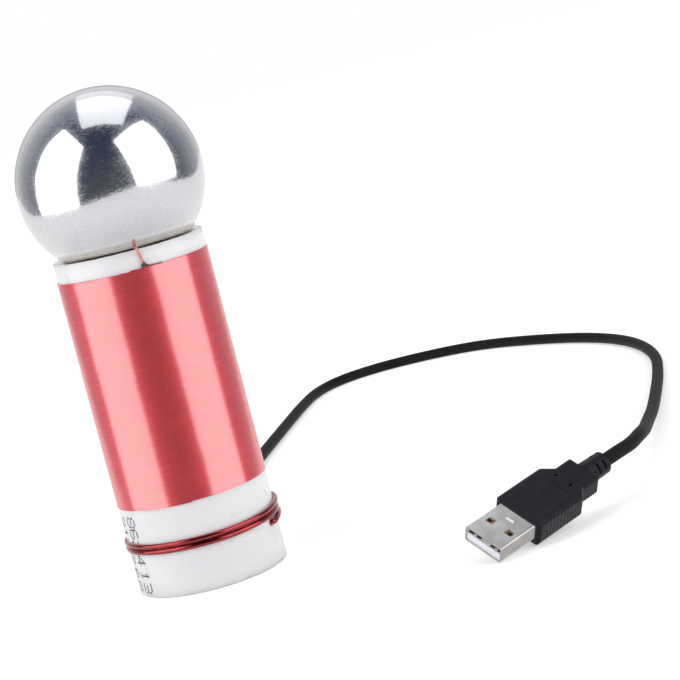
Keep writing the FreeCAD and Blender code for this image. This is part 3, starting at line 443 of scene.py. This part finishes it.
# each row is an azimuth in degrees and its figures, from the top down
ROWS = ((-62.2, "862413"), (-78.6, "314268"))
HEIGHTS = (21.3, 18.0, 14.5, 10.5, 6.1, 2.6)
bpy.ops.object.select_all(action="DESELECT")
bpy.ops.mesh.primitive_circle_add(vertices=8, radius=INK_DOT, fill_type="NGON")
dot = bpy.context.object
bpy.ops.object.mode_set(mode="EDIT")
bpy.ops.mesh.extrude_region_move(TRANSFORM_OT_translate={"value": (0, 0, 0.00002)})
bpy.ops.transform.resize(value=(0.8, 0.8, 1))
bpy.ops.mesh.select_all(action="SELECT")
bpy.ops.mesh.normals_make_consistent(inside=False)
bpy.ops.object.mode_set(mode="OBJECT")
dots = []
for azimuth, text in ROWS:
    for height, figure in zip(HEIGHTS, text):
        for row, line in enumerate(FIGURES[figure]):
            for column, inked in enumerate(line):
                if inked == "0":
                    continue
                up = height + (column - 2) * -DOT_PITCH
                turn = azimuth + math.degrees((3 - row) * DOT_PITCH / 1000 / TUBE_RADIUS)
                if up < SAW_LINE:
                    continue
                mark = dot.copy()
                mark.data = dot.data.copy()
                mark.location = [v / 1000 for v in at_azimuth(turn, INK_RADIUS, up)]
                mark.rotation_euler = (math.radians(90), 0, math.radians(turn))
                bpy.context.collection.objects.link(mark)
                dots.append(mark)
bpy.data.objects.remove(dot)
ink_marks = join_all(dots, "printed_figures")
settle(ink_marks)
ink, tree, shader = finish_material("pipe_ink", (0.07, 0.07, 0.085), 0.6)
inked = ramp(tree, noise_on_object(tree, 900),
             ((0.35, (0.035, 0.035, 0.045)), (0.65, (0.12, 0.12, 0.135))))
tree.links.new(inked, shader.inputs["Base Color"])
ink_marks.data.materials.append(ink)
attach(ink_marks, "stand")


# Fine winding
# One layer of enamelled copper wire, 0.2 mm, laid turn against turn round the
# tube, 317 turns, and wiped with lacquer, which fills the grooves and leaves each
# turn a narrow band. It starts at the front and ends 5 mm under the rim.

TURNS = 317
FINE_WIRE = 0.0002
COIL_LOW = 0.0248
COIL_HIGH = 0.0883
COIL_RADIUS = TUBE_RADIUS + 0.00002 + FINE_WIRE
START = -2.9
GROOVE = 0.00003
GROOVE_PLACE = 0.86
TURN_DEPTH = 0.00018
pitch = (COIL_HIGH - COIL_LOW) / (TURNS + 1)
bpy.ops.object.select_all(action="DESELECT")
bpy.ops.mesh.primitive_circle_add(vertices=3, radius=FINE_WIRE, fill_type="NOTHING")
turns = bpy.context.object
turns.name = "fine_turns"
bpy.ops.object.mode_set(mode="EDIT")
bpy.ops.mesh.select_all(action="DESELECT")
bpy.ops.object.mode_set(mode="OBJECT")
turns.data.edges[2].select = True
bpy.ops.object.mode_set(mode="EDIT")
bpy.ops.mesh.select_mode(type="EDGE")
bpy.ops.mesh.delete(type="EDGE_FACE")
bpy.ops.object.mode_set(mode="OBJECT")
profile = ((0, 0), (GROOVE, GROOVE_PLACE), (0, 1))
for vertex, (inset, rise) in zip(turns.data.vertices, profile):
    vertex.co = at_azimuth(START, COIL_RADIUS - inset, COIL_LOW + rise * pitch)
apply_modifier(turns, "SCREW", axis="Z", angle=math.radians(-360), screw_offset=pitch,
               iterations=TURNS, steps=72, render_steps=72, use_smooth_shade=True, use_merge_vertices=True,
               merge_threshold=0.000001)
bpy.ops.object.mode_set(mode="EDIT")
bpy.ops.mesh.select_all(action="SELECT")
bpy.ops.mesh.remove_doubles(threshold=0.000002)
bpy.ops.mesh.normals_make_consistent(inside=False)
bpy.ops.object.mode_set(mode="OBJECT")
outward = turns.data.polygons[100]
if outward.normal.dot(Vector((outward.center.x, outward.center.y, 0))) < 0:
    turns.data.flip_normals()
apply_modifier(turns, "SOLIDIFY", thickness=TURN_DEPTH, offset=-1)
only(turns)
bpy.ops.object.shade_smooth_by_angle(angle=math.radians(25))
enamel, tree, shader = finish_material("fine_enamel", (0.85, 0.04, 0.05), 0.4, metallic=0.7, coat=1.0)
shader.inputs["IOR"].default_value = 2.0
shader.inputs["Specular IOR Level"].default_value = 1.0
shader.inputs["Specular Tint"].default_value = (1, 0.6, 0.6, 1)
shader.inputs["Coat IOR"].default_value = 2.6
shader.inputs["Coat Roughness"].default_value = 0.17
turn_lines = noise_on_object(tree, 90, (1, 1, 30), detail=4)
shade_between(tree, shader, turn_lines, (0.78, 0.035, 0.043), (0.92, 0.05, 0.06))
vary_roughness(tree, shader, noise_on_object(tree, 260, (1, 1, 8)), 0.36, 0.44)
worn_lines = noise_on_object(tree, 70, (1, 1, 40), detail=5)
tree.links.new(spread(tree, worn_lines, 1, 0.84), shader.inputs["Coat Weight"])
relief(tree, shader, noise_on_object(tree, 70, (1, 1, 45), detail=4), 0.000012, 1.0)
relief(tree, shader, noise_on_object(tree, 60, (1, 1, 1.5), detail=1), 0.00012, 1.0)
tree.links.new(shader.inputs["Normal"].links[0].from_socket, shader.inputs["Coat Normal"])
turns.data.materials.append(enamel)
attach(turns, "stand")
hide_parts("secondary_winding")


# Tails of the fine winding
# The upper tail leaves the last turn, is threaded through the anchor hole and goes
# over the rim under the ball, with a second strand that comes back into a knot. The
# lower tail goes through the wall under the first turn and down to the board.

TAIL_WIDTH = 0.00036
LOWER_TAIL_WIDTH = 0.00042
upper_tail = wire_curve("upper_tail", [
    at_azimuth(22, 20.98, 88.33), at_azimuth(16, 21.03, 88.45), at_azimuth(11.5, 21.06, 88.6),
    at_azimuth(10.2, 21.1, 88.8), at_azimuth(10.0, 20.6, 88.9), at_azimuth(9.8, 19.6, 88.9),
    at_azimuth(8.0, 19.1, 89.0), at_azimuth(6.2, 19.6, 88.9), at_azimuth(6.3, 20.6, 88.75),
    at_azimuth(6.8, 21.15, 88.7), at_azimuth(8.4, 21.3, 88.9), at_azimuth(8.5, 21.3, 89.6),
    at_azimuth(7.7, 21.15, 90.6), at_azimuth(7.0, 21.05, 92.0), at_azimuth(6.3, 21.05, 93.4),
    at_azimuth(6.1, 20.9, 93.85), at_azimuth(6.0, 20.1, 94.05), at_azimuth(6.0, 19.45, 94.1),
    at_azimuth(6.0, 19.1, 93.85), at_azimuth(6.0, 18.75, 93.4),
], TAIL_WIDTH, rings=8, sides=5)
return_strand = wire_curve("return_strand", [
    at_azimuth(5.0, 18.75, 93.4), at_azimuth(5.0, 19.1, 93.85), at_azimuth(5.0, 19.45, 94.1),
    at_azimuth(5.0, 20.1, 94.05), at_azimuth(5.1, 20.9, 93.85),
    at_azimuth(5.3, 21.05, 93.4), at_azimuth(6.0, 21.07, 92.0), at_azimuth(6.8, 21.12, 90.7),
    at_azimuth(7.5, 21.3, 89.7), at_azimuth(9.2, 21.4, 89.4), at_azimuth(9.5, 21.4, 88.7),
    at_azimuth(7.9, 21.4, 88.5), at_azimuth(7.0, 21.4, 89.1), at_azimuth(8.2, 21.5, 89.6),
    at_azimuth(8.9, 21.2, 89.0), at_azimuth(8.2, 20.2, 88.8), at_azimuth(8.1, 19.2, 88.7),
], TAIL_WIDTH, rings=8, sides=5)
for strand in (upper_tail, return_strand):
    only(strand)
    bpy.ops.object.convert(target="MESH")
join_all([upper_tail, return_strand], "upper_tail")
bpy.ops.object.shade_smooth()
tail_enamel, tree, shader = finish_material("tail_enamel", (0.85, 0.30, 0.27), 0.3, metallic=0.2, coat=0.6)
tinge = ramp(tree, noise_on_object(tree, 700, detail=2),
             ((0.3, (0.75, 0.20, 0.19)), (0.7, (0.92, 0.38, 0.35))))
place = tree.nodes.new("ShaderNodeTexCoord")
split = tree.nodes.new("ShaderNodeSeparateXYZ")
tree.links.new(place.outputs["Object"], split.inputs[0])
# painted shade: below 89.6 mm the tail is painted nearly black, in and around the knot by the anchor hole
knot_shade = spread(tree, split.outputs["Z"], 0.9, 0.0, 0.0896, 0.0902)
tree.links.new(blend_colours(tree, knot_shade, tinge, (0.05, 0.012, 0.012)), shader.inputs["Base Color"])
relief(tree, shader, noise_on_object(tree, 2500), 0.00002, 0.4)
upper_tail.data.materials.append(tail_enamel)
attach(upper_tail, "stand")
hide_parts("secondary_top_lead")

lower_tail = wire_curve("lower_tail", [
    at_azimuth(-2.9, 20.75, 25.3), at_azimuth(-2.9, 19.5, 25.3), at_azimuth(-2.9, 17.4, 25.3),
    at_azimuth(-2.9, 16.45, 25.2), at_azimuth(-2.9, 16.4, 24), at_azimuth(-2.9, 16.4, 20),
    at_azimuth(-2.9, 16.4, 14), at_azimuth(-2.9, 16.4, 8.25),
], LOWER_TAIL_WIDTH, rings=6, sides=5)
only(lower_tail)
bpy.ops.object.convert(target="MESH")
bpy.ops.object.shade_smooth()
lower_tail.data.materials.append(enamel)
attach(lower_tail, "stand")
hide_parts("secondary_bottom_lead")


# Thick winding
# Two turns and a bit of 1.5 mm enamelled wire, bent round the tube by hand, so
# that the turns touch at the front left and spread at the right. Both ends dive
# through the wall and are soldered to the board.

THICK_WIRE = 0.0015
BAND_RADIUS = 21.62
# each point is an azimuth in degrees and a height in millimetres
BAND_HEIGHTS = (
    (66, 11.45), (70, 11.7), (76, 12.0), (84, 12.25), (94, 12.35), (112, 12.3), (132, 12.25),
    (156, 12.25), (180, 12.35), (210, 12.6), (240, 12.8), (270, 12.9), (300, 13.0), (330, 13.1),
    (360, 13.12), (385, 13.2), (410, 13.4), (430, 13.65), (448, 13.9), (475, 14.1), (505, 14.2),
    (540, 14.35), (570, 14.45), (600, 14.55), (630, 14.6), (660, 14.62), (690, 14.64), (720, 14.68),
    (745, 14.78), (768, 14.98), (784, 15.35), (798, 15.75), (812, 15.98), (825, 15.95), (838, 15.8),
)
band_points = [at_azimuth(58.3, 15.2, 8.25), at_azimuth(58.5, 15.2, 9.6), at_azimuth(60, 15.3, 11),
               at_azimuth(61.8, 16.6, 11.4), at_azimuth(62.4, 18, 11.4), at_azimuth(62.4, 20, 11.4),
               at_azimuth(62.6, 21.4, 11.4)]
band_points += [at_azimuth(azimuth, BAND_RADIUS, height) for azimuth, height in BAND_HEIGHTS]
band_points += [at_azimuth(126.6, 21.5, 15.7), at_azimuth(127.8, 20.5, 15.64), at_azimuth(128, 19, 15.64),
                at_azimuth(128, 16.6, 15.64), at_azimuth(128, 15.25, 15.5), at_azimuth(128, 15.2, 14),
                at_azimuth(128, 15.2, 11), at_azimuth(128, 15.2, 8.25)]
thick = wire_curve("thick_turns", band_points, THICK_WIRE, rings=8, sides=9)
only(thick)
bpy.ops.object.convert(target="MESH")
bpy.ops.object.shade_smooth()
maroon, tree, shader = finish_material("thick_enamel", (0.34, 0.016, 0.018), 0.13, metallic=1.0, coat=0.75)
shader.inputs["Coat Roughness"].default_value = 0.05
shader.inputs["Coat IOR"].default_value = 1.55
shade_between(tree, shader, noise_on_object(tree, 220, detail=4),
              (0.28, 0.012, 0.014), (0.40, 0.02, 0.022))
vary_roughness(tree, shader, noise_on_object(tree, 900), 0.10, 0.17)
relief(tree, shader, noise_on_object(tree, 500, detail=3), 0.00003, 0.5)
thick.data.materials.append(maroon)
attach(thick, "stand")
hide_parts("primary_winding")


# Foot disc
# Round plate sawn from white plastic sheet and pushed into the foot of the tube,
# where it sits by friction and carries the board with all its parts.


def dress(node, material):
    """Gives a CAD node its finished material."""
    nodes[node].data.materials.clear()
    nodes[node].data.materials.append(material)


def plain_finish(name, dark, light, roughness, metallic=0.0, scale=300, depth=0.00001, specular=0.5):
    """A finish that varies between two colours, with a fine grain."""
    material, tree, shader = finish_material(name, light, roughness, metallic)
    shader.inputs["Specular IOR Level"].default_value = specular
    shade_between(tree, shader, noise_on_object(tree, scale, detail=4), dark, light)
    vary_roughness(tree, shader, noise_on_object(tree, scale * 3), roughness * 0.8, roughness * 1.25)
    relief(tree, shader, noise_on_object(tree, scale * 8), depth, 0.5)
    return material


dress("base_disc", plain_finish("disc_plastic", (0.80, 0.80, 0.78), (0.88, 0.88, 0.86), 0.5))


# Spacers and screws
# Four turned nylon spacers hold the board over the disc. Zinc plated screws with
# slotted heads go through board, spacer and disc, and one more holds the heat sink.

dress("board_standoffs", plain_finish("spacer_nylon", (0.78, 0.77, 0.71), (0.86, 0.85, 0.80), 0.45))
screw_zinc = plain_finish("screw_steel", (0.48, 0.49, 0.50), (0.62, 0.63, 0.65), 0.3, 1.0, 900)
dress("board_screws", screw_zinc)
dress("heat_sink_screw", screw_zinc)


# Circuit board
# Round board of glass laminate under green lacquer, cut straight at the back. The
# legs of the parts are soldered under it, and the wires that come to it on top.

dress("circuit_board", plain_finish("board_laminate", (0.03, 0.15, 0.06), (0.045, 0.21, 0.085), 0.35))
dress("solder_joints", plain_finish("solder", (0.50, 0.50, 0.52), (0.66, 0.66, 0.68), 0.22, 1.0, 1200))


# Transistor and heat sink
# Power transistor in a black epoxy case with a plated tab. It drives the thick
# winding and is screwed to a finned sink of extruded aluminium.

dress("transistor_body", plain_finish("case_epoxy", (0.012, 0.012, 0.013), (0.025, 0.025, 0.027), 0.5))
dress("transistor_tab", plain_finish("tab_metal", (0.52, 0.52, 0.53), (0.68, 0.68, 0.70), 0.32, 1.0))
dress("heat_sink", plain_finish("sink_aluminium", (0.58, 0.59, 0.60), (0.72, 0.73, 0.75), 0.35, 1.0))


# Legs of the parts
# Tinned copper legs that go down through the board and are cut short under it. The
# transistor's are flat, and the capacitor, resistor and lamp have round wire.

tinned = plain_finish("tinned_wire", (0.58, 0.58, 0.59), (0.74, 0.74, 0.76), 0.28, 1.0, 900)
for node in ("transistor_leads", "capacitor_leads", "resistor_leads", "led_leads"):
    dress(node, tinned)


# Smoothing capacitor
# Aluminium can in a shrunk sleeve of dark blue plastic. A pale stripe printed down
# one side marks the negative leg.

PAINT_EDGE = 0.0001


def paint_marks(material, node, axes, marks):
    """Paints bands across a CAD node. A band has its start, end and colour, and the
    start and end run from 0 to 1 along the longest of the axes."""
    tree = material.node_tree
    shader = tree.nodes["Principled BSDF"]
    low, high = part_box(node)
    spans = {axis: high["XYZ".index(axis)] - low["XYZ".index(axis)] for axis in axes}
    axis = max(spans, key=spans.get)
    first = low["XYZ".index(axis)]
    place = tree.nodes.new("ShaderNodeTexCoord")
    split = tree.nodes.new("ShaderNodeSeparateXYZ")
    tree.links.new(place.outputs["Object"], split.inputs[0])
    colour = shader.inputs["Base Color"].links[0].from_socket
    for start, end, paint in marks:
        start, end = first + start * spans[axis], first + end * spans[axis]
        band = combine(tree, "MULTIPLY",
                       spread(tree, split.outputs[axis], 0, 1, start - PAINT_EDGE, start),
                       spread(tree, split.outputs[axis], 1, 0, end, end + PAINT_EDGE))
        colour = blend_colours(tree, band, colour, paint)
    tree.links.new(colour, shader.inputs["Base Color"])


STRIPE = ((0.0, 0.14, (0.45, 0.47, 0.52)),)
sleeve = plain_finish("can_sleeve", (0.012, 0.014, 0.05), (0.02, 0.022, 0.07), 0.3)
paint_marks(sleeve, "electrolytic_capacitor", "Y", STRIPE)
dress("electrolytic_capacitor", sleeve)


# Base resistor
# Ceramic rod with wider ends under beige lacquer, and four colour bands that give
# its value. It lies just above the board on bent legs.

BROWN = (0.12, 0.04, 0.015)
BLACK = (0.01, 0.01, 0.01)
RED = (0.5, 0.02, 0.012)
GOLD = (0.55, 0.36, 0.06)
BANDS = ((0.14, 0.24, BROWN), (0.34, 0.44, BLACK), (0.54, 0.64, RED), (0.78, 0.88, GOLD))
lacquer = plain_finish("resistor_lacquer", (0.50, 0.38, 0.22), (0.66, 0.52, 0.33), 0.35)
paint_marks(lacquer, "base_resistor", "XYZ", BANDS)
dress("base_resistor", lacquer)


# Indicator lamp
# Small red light emitting diode, cast in clear red epoxy with a flange and a domed
# top. It stands on its legs above the board.

dress("indicator_led", plain_finish("lamp_lens", (0.45, 0.02, 0.015), (0.6, 0.04, 0.03), 0.12))


# Cable tie
# Black nylon strap pulled tight round the jacket behind the wall, so that the lead
# can't be pulled out of the tube.

dress("cable_tie", plain_finish("tie_nylon", (0.012, 0.012, 0.013), (0.03, 0.03, 0.032), 0.45))


# Conductors of the lead
# Two plastic covered wires, red and black, that come out of the jacket beyond the
# tie. They rise over the board's straight edge and go down to their pads.

CORE_WIDTH = 0.0012
for side, node, colour in ((-1, "power_wire_red", (0.5, 0.02, 0.02)),
                           (1, "power_wire_black", (0.015, 0.015, 0.016))):
    core = wire_curve(node.replace("wire", "core"), [
        (side * 0.75, 14.5, 6.2), (side * 0.75, 13.4, 6.25), (side * 0.76, 13.1, 7.6),
        (side * 0.8, 13.1, 10), (side * 0.95, 12.7, 11.15), (side * 1.5, 10.6, 11.2),
        (side * 1.78, 9.55, 11.1), (side * 1.8, 9.5, 10), (side * 1.8, 9.5, 8.25),
    ], CORE_WIDTH, rings=8, sides=6)
    only(core)
    bpy.ops.object.convert(target="MESH")
    bpy.ops.object.shade_smooth()
    slot = node.replace("power_wire", "core")
    core.data.materials.append(plain_finish(slot, [part * 0.8 for part in colour], colour, 0.35))
    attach(core, "stand")
    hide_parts(node)


# Plug shell
# Box folded from thin sheet steel and nickel plated, a little cloudy. Both broad
# sides have two latch windows, the upper one also a slot, and the lower the seam.

dress("plug_shell", plain_finish("shell_nickel", (0.34, 0.33, 0.32), (0.46, 0.445, 0.43),
                                 0.2, 1.0, 260, depth=0.000004))


# Plug insulator and contacts
# White moulded tongue that fills the lower half of the shell, with four stamped
# and gilt contacts laid along its upper side.

dress("plug_tongue", plain_finish("tongue_plastic", (0.84, 0.86, 0.91), (0.90, 0.92, 0.96), 0.35))
dress("plug_contacts", plain_finish("contact_gold", (0.17, 0.105, 0.033), (0.28, 0.18, 0.065), 0.35, 1.0))


# Latch boss
# Small stepped block of the insulator's white plastic. It snaps up into the
# shell's slot and keeps the two together.

PLUG_TIP = Vector((0.06595, -0.06867, 0.00495))
PLUG_BACK = Vector((0.83999, 0.52333, 0.14333))
PLUG_ROLL = math.radians(31.9)
across = Vector((0, 0, 1)).cross(PLUG_BACK).normalized()
above = PLUG_BACK.cross(across)
PLUG_LEFT = across * math.cos(PLUG_ROLL) + above * math.sin(PLUG_ROLL)
PLUG_UP = above * math.cos(PLUG_ROLL) - across * math.sin(PLUG_ROLL)
PLUG_TURN = Matrix((PLUG_BACK, PLUG_LEFT, PLUG_UP)).transposed()


def set_in_plug(piece):
    """Moves a piece made at the origin, with its back along X, into the plug."""
    settle(piece)
    piece.matrix_world = Matrix.Translation(PLUG_TIP) @ PLUG_TURN.to_4x4()
    settle(piece)


BOSS_SIZE = (0.0022, 0.0052, 0.0015)
BOSS_PLACE = (0.00978, 0, 0.00118)
bpy.ops.object.select_all(action="DESELECT")
bpy.ops.mesh.primitive_cube_add(size=1)
boss = bpy.context.object
boss.name = "latch_boss"
boss.scale = BOSS_SIZE
settle(boss)
bpy.ops.object.mode_set(mode="EDIT")
bpy.ops.mesh.select_all(action="DESELECT")
bpy.ops.object.mode_set(mode="OBJECT")
for face in boss.data.polygons:
    face.select = face.normal.z > 0.9
bpy.ops.object.mode_set(mode="EDIT")
bpy.ops.mesh.inset(thickness=0.0007, depth=0)
bpy.ops.transform.resize(value=(1.05, 0.68, 1))
bpy.ops.mesh.extrude_region_move(TRANSFORM_OT_translate={"value": (0, 0, 0.00024)})
bpy.ops.mesh.inset(thickness=0.00018, depth=-0.0001)
bpy.ops.mesh.select_all(action="SELECT")
bpy.ops.mesh.bevel(offset=0.00006, segments=2, affect="EDGES")
bpy.ops.mesh.normals_make_consistent(inside=False)
bpy.ops.object.mode_set(mode="OBJECT")
boss.location = BOSS_PLACE
set_in_plug(boss)
bpy.ops.object.shade_smooth_by_angle(angle=math.radians(35))
boss.data.materials.append(plain_finish("boss_plastic", (0.80, 0.81, 0.83), (0.90, 0.90, 0.92), 0.4))
boss.visible_glossy = False
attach(boss, "stand")


# Painted shade strips
# Four strips of dark film on the tongue, between and beside the gilt contacts, that
# paint the shade inside the shell. Through the windows and at the shell's mouth they read almost black.

STRIP_LENGTH = 0.0073
STRIP_THICKNESS = 0.00022
STRIP_BACK = 0.00445
STRIP_HEIGHT = 0.00023
# each strip is its middle and its width, across the plug, in millimetres
STRIPS = ((-4.85, 1.6), (-2.3, 1.28), (2.3, 1.28), (4.85, 1.6))
strips = []
for middle, width in STRIPS:
    bpy.ops.object.select_all(action="DESELECT")
    bpy.ops.mesh.primitive_cube_add(size=1)
    strip = bpy.context.object
    strip.scale = (STRIP_LENGTH, width / 1000, STRIP_THICKNESS)
    settle(strip)
    bpy.ops.object.mode_set(mode="EDIT")
    bpy.ops.mesh.select_all(action="SELECT")
    bpy.ops.mesh.bevel(offset=0.00005, segments=2, affect="EDGES")
    bpy.ops.object.mode_set(mode="OBJECT")
    strip.location = (STRIP_BACK, middle / 1000, STRIP_HEIGHT)
    strips.append(strip)
# dark strips that paint the shade on the tongue inside the shell
shade_strips = join_all(strips, "painted_shade_strips")
set_in_plug(shade_strips)
shade_strips.data.materials.append(plain_finish("painted_shade_film", (0.02, 0.014, 0.01), (0.045, 0.032, 0.023),
                                          0.6, specular=0.1))
shade_strips.visible_glossy = False
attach(shade_strips, "stand")


# Plug moulding
# Soft black plastic moulded round the shell and the end of the lead, with rounded
# edges, a fine spark texture and low grip ribs down both sides.


def along(tree, axis, origin):
    """Distance in metres from the origin along an axis, in object space."""
    place = tree.nodes.new("ShaderNodeTexCoord")
    from_origin = tree.nodes.new("ShaderNodeVectorMath")
    from_origin.operation = "SUBTRACT"
    from_origin.inputs[1].default_value = origin
    tree.links.new(place.outputs["Object"], from_origin.inputs[0])
    product = tree.nodes.new("ShaderNodeVectorMath")
    product.operation = "DOT_PRODUCT"
    product.inputs[1].default_value = axis
    tree.links.new(from_origin.outputs["Vector"], product.inputs[0])
    return product.outputs["Value"]


EDGE_ROUND = 0.0008
RIB_PITCH = 0.0013
RIB_DEPTH = 0.00003
moulding, tree, shader = finish_material("plug_moulding", (0.005, 0.005, 0.007), 0.42)
shader.inputs["IOR"].default_value = 1.25
rounded = tree.nodes.new("ShaderNodeBevel")
rounded.inputs["Radius"].default_value = EDGE_ROUND
tree.links.new(rounded.outputs["Normal"], shader.inputs["Normal"])
shade_between(tree, shader, noise_on_object(tree, 300, detail=4),
              (0.005, 0.005, 0.008), (0.009, 0.009, 0.013))
vary_roughness(tree, shader, noise_on_object(tree, 1200), 0.30, 0.44)
back = along(tree, PLUG_BACK, PLUG_TIP)
aside = combine(tree, "ABSOLUTE", along(tree, PLUG_LEFT, PLUG_TIP), 0)
ribs = combine(tree, "SINE", combine(tree, "MULTIPLY", back, 2 * math.pi / RIB_PITCH), 0)
ribs = combine(tree, "MULTIPLY", ribs, spread(tree, back, 0, 1, 0.0155, 0.0162))
ribs = combine(tree, "MULTIPLY", ribs, spread(tree, back, 1, 0, 0.0255, 0.0262))
ribs = combine(tree, "MULTIPLY", ribs, spread(tree, aside, 0, 1, 0.0072, 0.0074))
relief(tree, shader, ribs, RIB_DEPTH, 1.0)
relief(tree, shader, noise_on_object(tree, 3500), 0.00003, 0.6)
dress("plug_overmould", moulding)


# Painted shade in the recesses
# Dark discs on the floors of the moulding's two round dots and of the slots in its strain relief.
# They paint the shade that falls in these hollows.

DOT_FLOOR = (0.00049, 0.00016)
SLOT_FLOOR = (0.00291, 0.00425)
# each floor is a place in the plug, a turn in degrees, and a radius and a depth
FLOORS = (((0.02975, 0.0025, 0.00329), 0, DOT_FLOOR), ((0.02975, -0.0025, 0.00329), 0, DOT_FLOOR),
          ((0.04302, 0, 0), 90, SLOT_FLOOR))
floors = []
for place, turn, (radius, depth) in FLOORS:
    bpy.ops.object.select_all(action="DESELECT")
    bpy.ops.mesh.primitive_cylinder_add(vertices=48, radius=radius, depth=depth, location=place,
                                        rotation=(0, math.radians(turn), 0))
    floors.append(bpy.context.object)
    bpy.ops.object.mode_set(mode="EDIT")
    bpy.ops.mesh.select_all(action="SELECT")
    bpy.ops.mesh.bevel(offset=depth / 8, segments=2, affect="EDGES")
    bpy.ops.object.mode_set(mode="OBJECT")
# dark discs that paint the shade deep in the dots and slots
painted_recess_shade = join_all(floors, "painted_recess_shade")
set_in_plug(painted_recess_shade)
painted_recess_shade.data.materials.append(plain_finish("painted_shade_black", (0.0006, 0.0006, 0.0008),
                                                 (0.0016, 0.0016, 0.002), 0.8, specular=0.05))
painted_recess_shade.visible_glossy = False
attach(painted_recess_shade, "stand")


# Steel ball
# Hollow ball pressed from stainless sheet, ground and polished to a mirror, with
# the haze, arcs and fine pits that polishing leaves. It lies loose in the mouth.

BALL_RADIUS = 0.0255
BALL_SHEET = 0.0008
ball_low, ball_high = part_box("ball_terminal")
ball_centre = (ball_low + ball_high) / 2
bpy.ops.object.select_all(action="DESELECT")
bpy.ops.mesh.primitive_uv_sphere_add(segments=192, ring_count=96, radius=BALL_RADIUS,
                                     location=(0, 0, ball_centre.z))
ball = bpy.context.object
ball.name = "steel_ball"
settle(ball)
apply_modifier(ball, "SOLIDIFY", thickness=BALL_SHEET, offset=-1)
bpy.ops.object.shade_smooth()
mirror, tree, shader = finish_material("ball_steel", (0.70, 0.70, 0.71), 0.05, metallic=1.0)
clouds = noise_on_object(tree, 60, detail=4)
smears = noise_on_object(tree, 2400, (0.4, 0.4, 1), detail=4)
grains = noise_on_object(tree, 8000, detail=1)
place = tree.nodes.new("ShaderNodeTexCoord")
split = tree.nodes.new("ShaderNodeSeparateXYZ")
tree.links.new(place.outputs["Object"], split.inputs[0])
rubbed = combine(tree, "MULTIPLY",
                 spread(tree, split.outputs["Z"], 0.2, 1, ball_centre.z + 0.009, ball_centre.z + 0.001),
                 spread(tree, split.outputs["Z"], 0.0, 1, ball_centre.z - 0.009, ball_centre.z - 0.003))
haze = combine(tree, "MULTIPLY", spread(tree, grains, 0, 1, 0.45, 0.6),
               spread(tree, smears, 0.5, 0.9, 0.35, 0.65))
haze = combine(tree, "MULTIPLY", haze, spread(tree, clouds, 0.35, 1, 0.38, 0.62))
tree.links.new(spread(tree, haze, 0.05, 0.45, 0, 1), shader.inputs["Roughness"])
cloudy = ramp(tree, clouds, ((0.3, (0.67, 0.67, 0.685)), (0.7, (0.73, 0.73, 0.735))))
dulled = ramp(tree, smears, ((0.3, (0.90, 0.92, 0.95)), (0.6, (1, 1, 1))))
steel = blend_colours(tree, 1.0, cloudy, dulled, "MULTIPLY")
# painted reflection: the steel is painted lighter and warmer in a band just above the mouth, for the lit
# rim that it mirrors
rim_reflection_band = spread(tree, split.outputs["Z"], 1, 0, ball_centre.z - 0.0178, ball_centre.z - 0.0145)
tree.links.new(blend_colours(tree, rim_reflection_band, steel, (0.95, 0.90, 0.83)), shader.inputs["Base Color"])
relief(tree, shader, noise_on_object(tree, 1500, (0.12, 0.12, 1), detail=2), 0.000006, 0.8)
relief(tree, shader, combine(tree, "MULTIPLY", smears, rubbed), 0.000016, 1.0)
relief(tree, shader, noise_on_object(tree, 90, detail=2), 0.00009, 1.0)
ball.data.materials.append(mirror)
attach(ball, "ball")
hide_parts("ball_terminal")
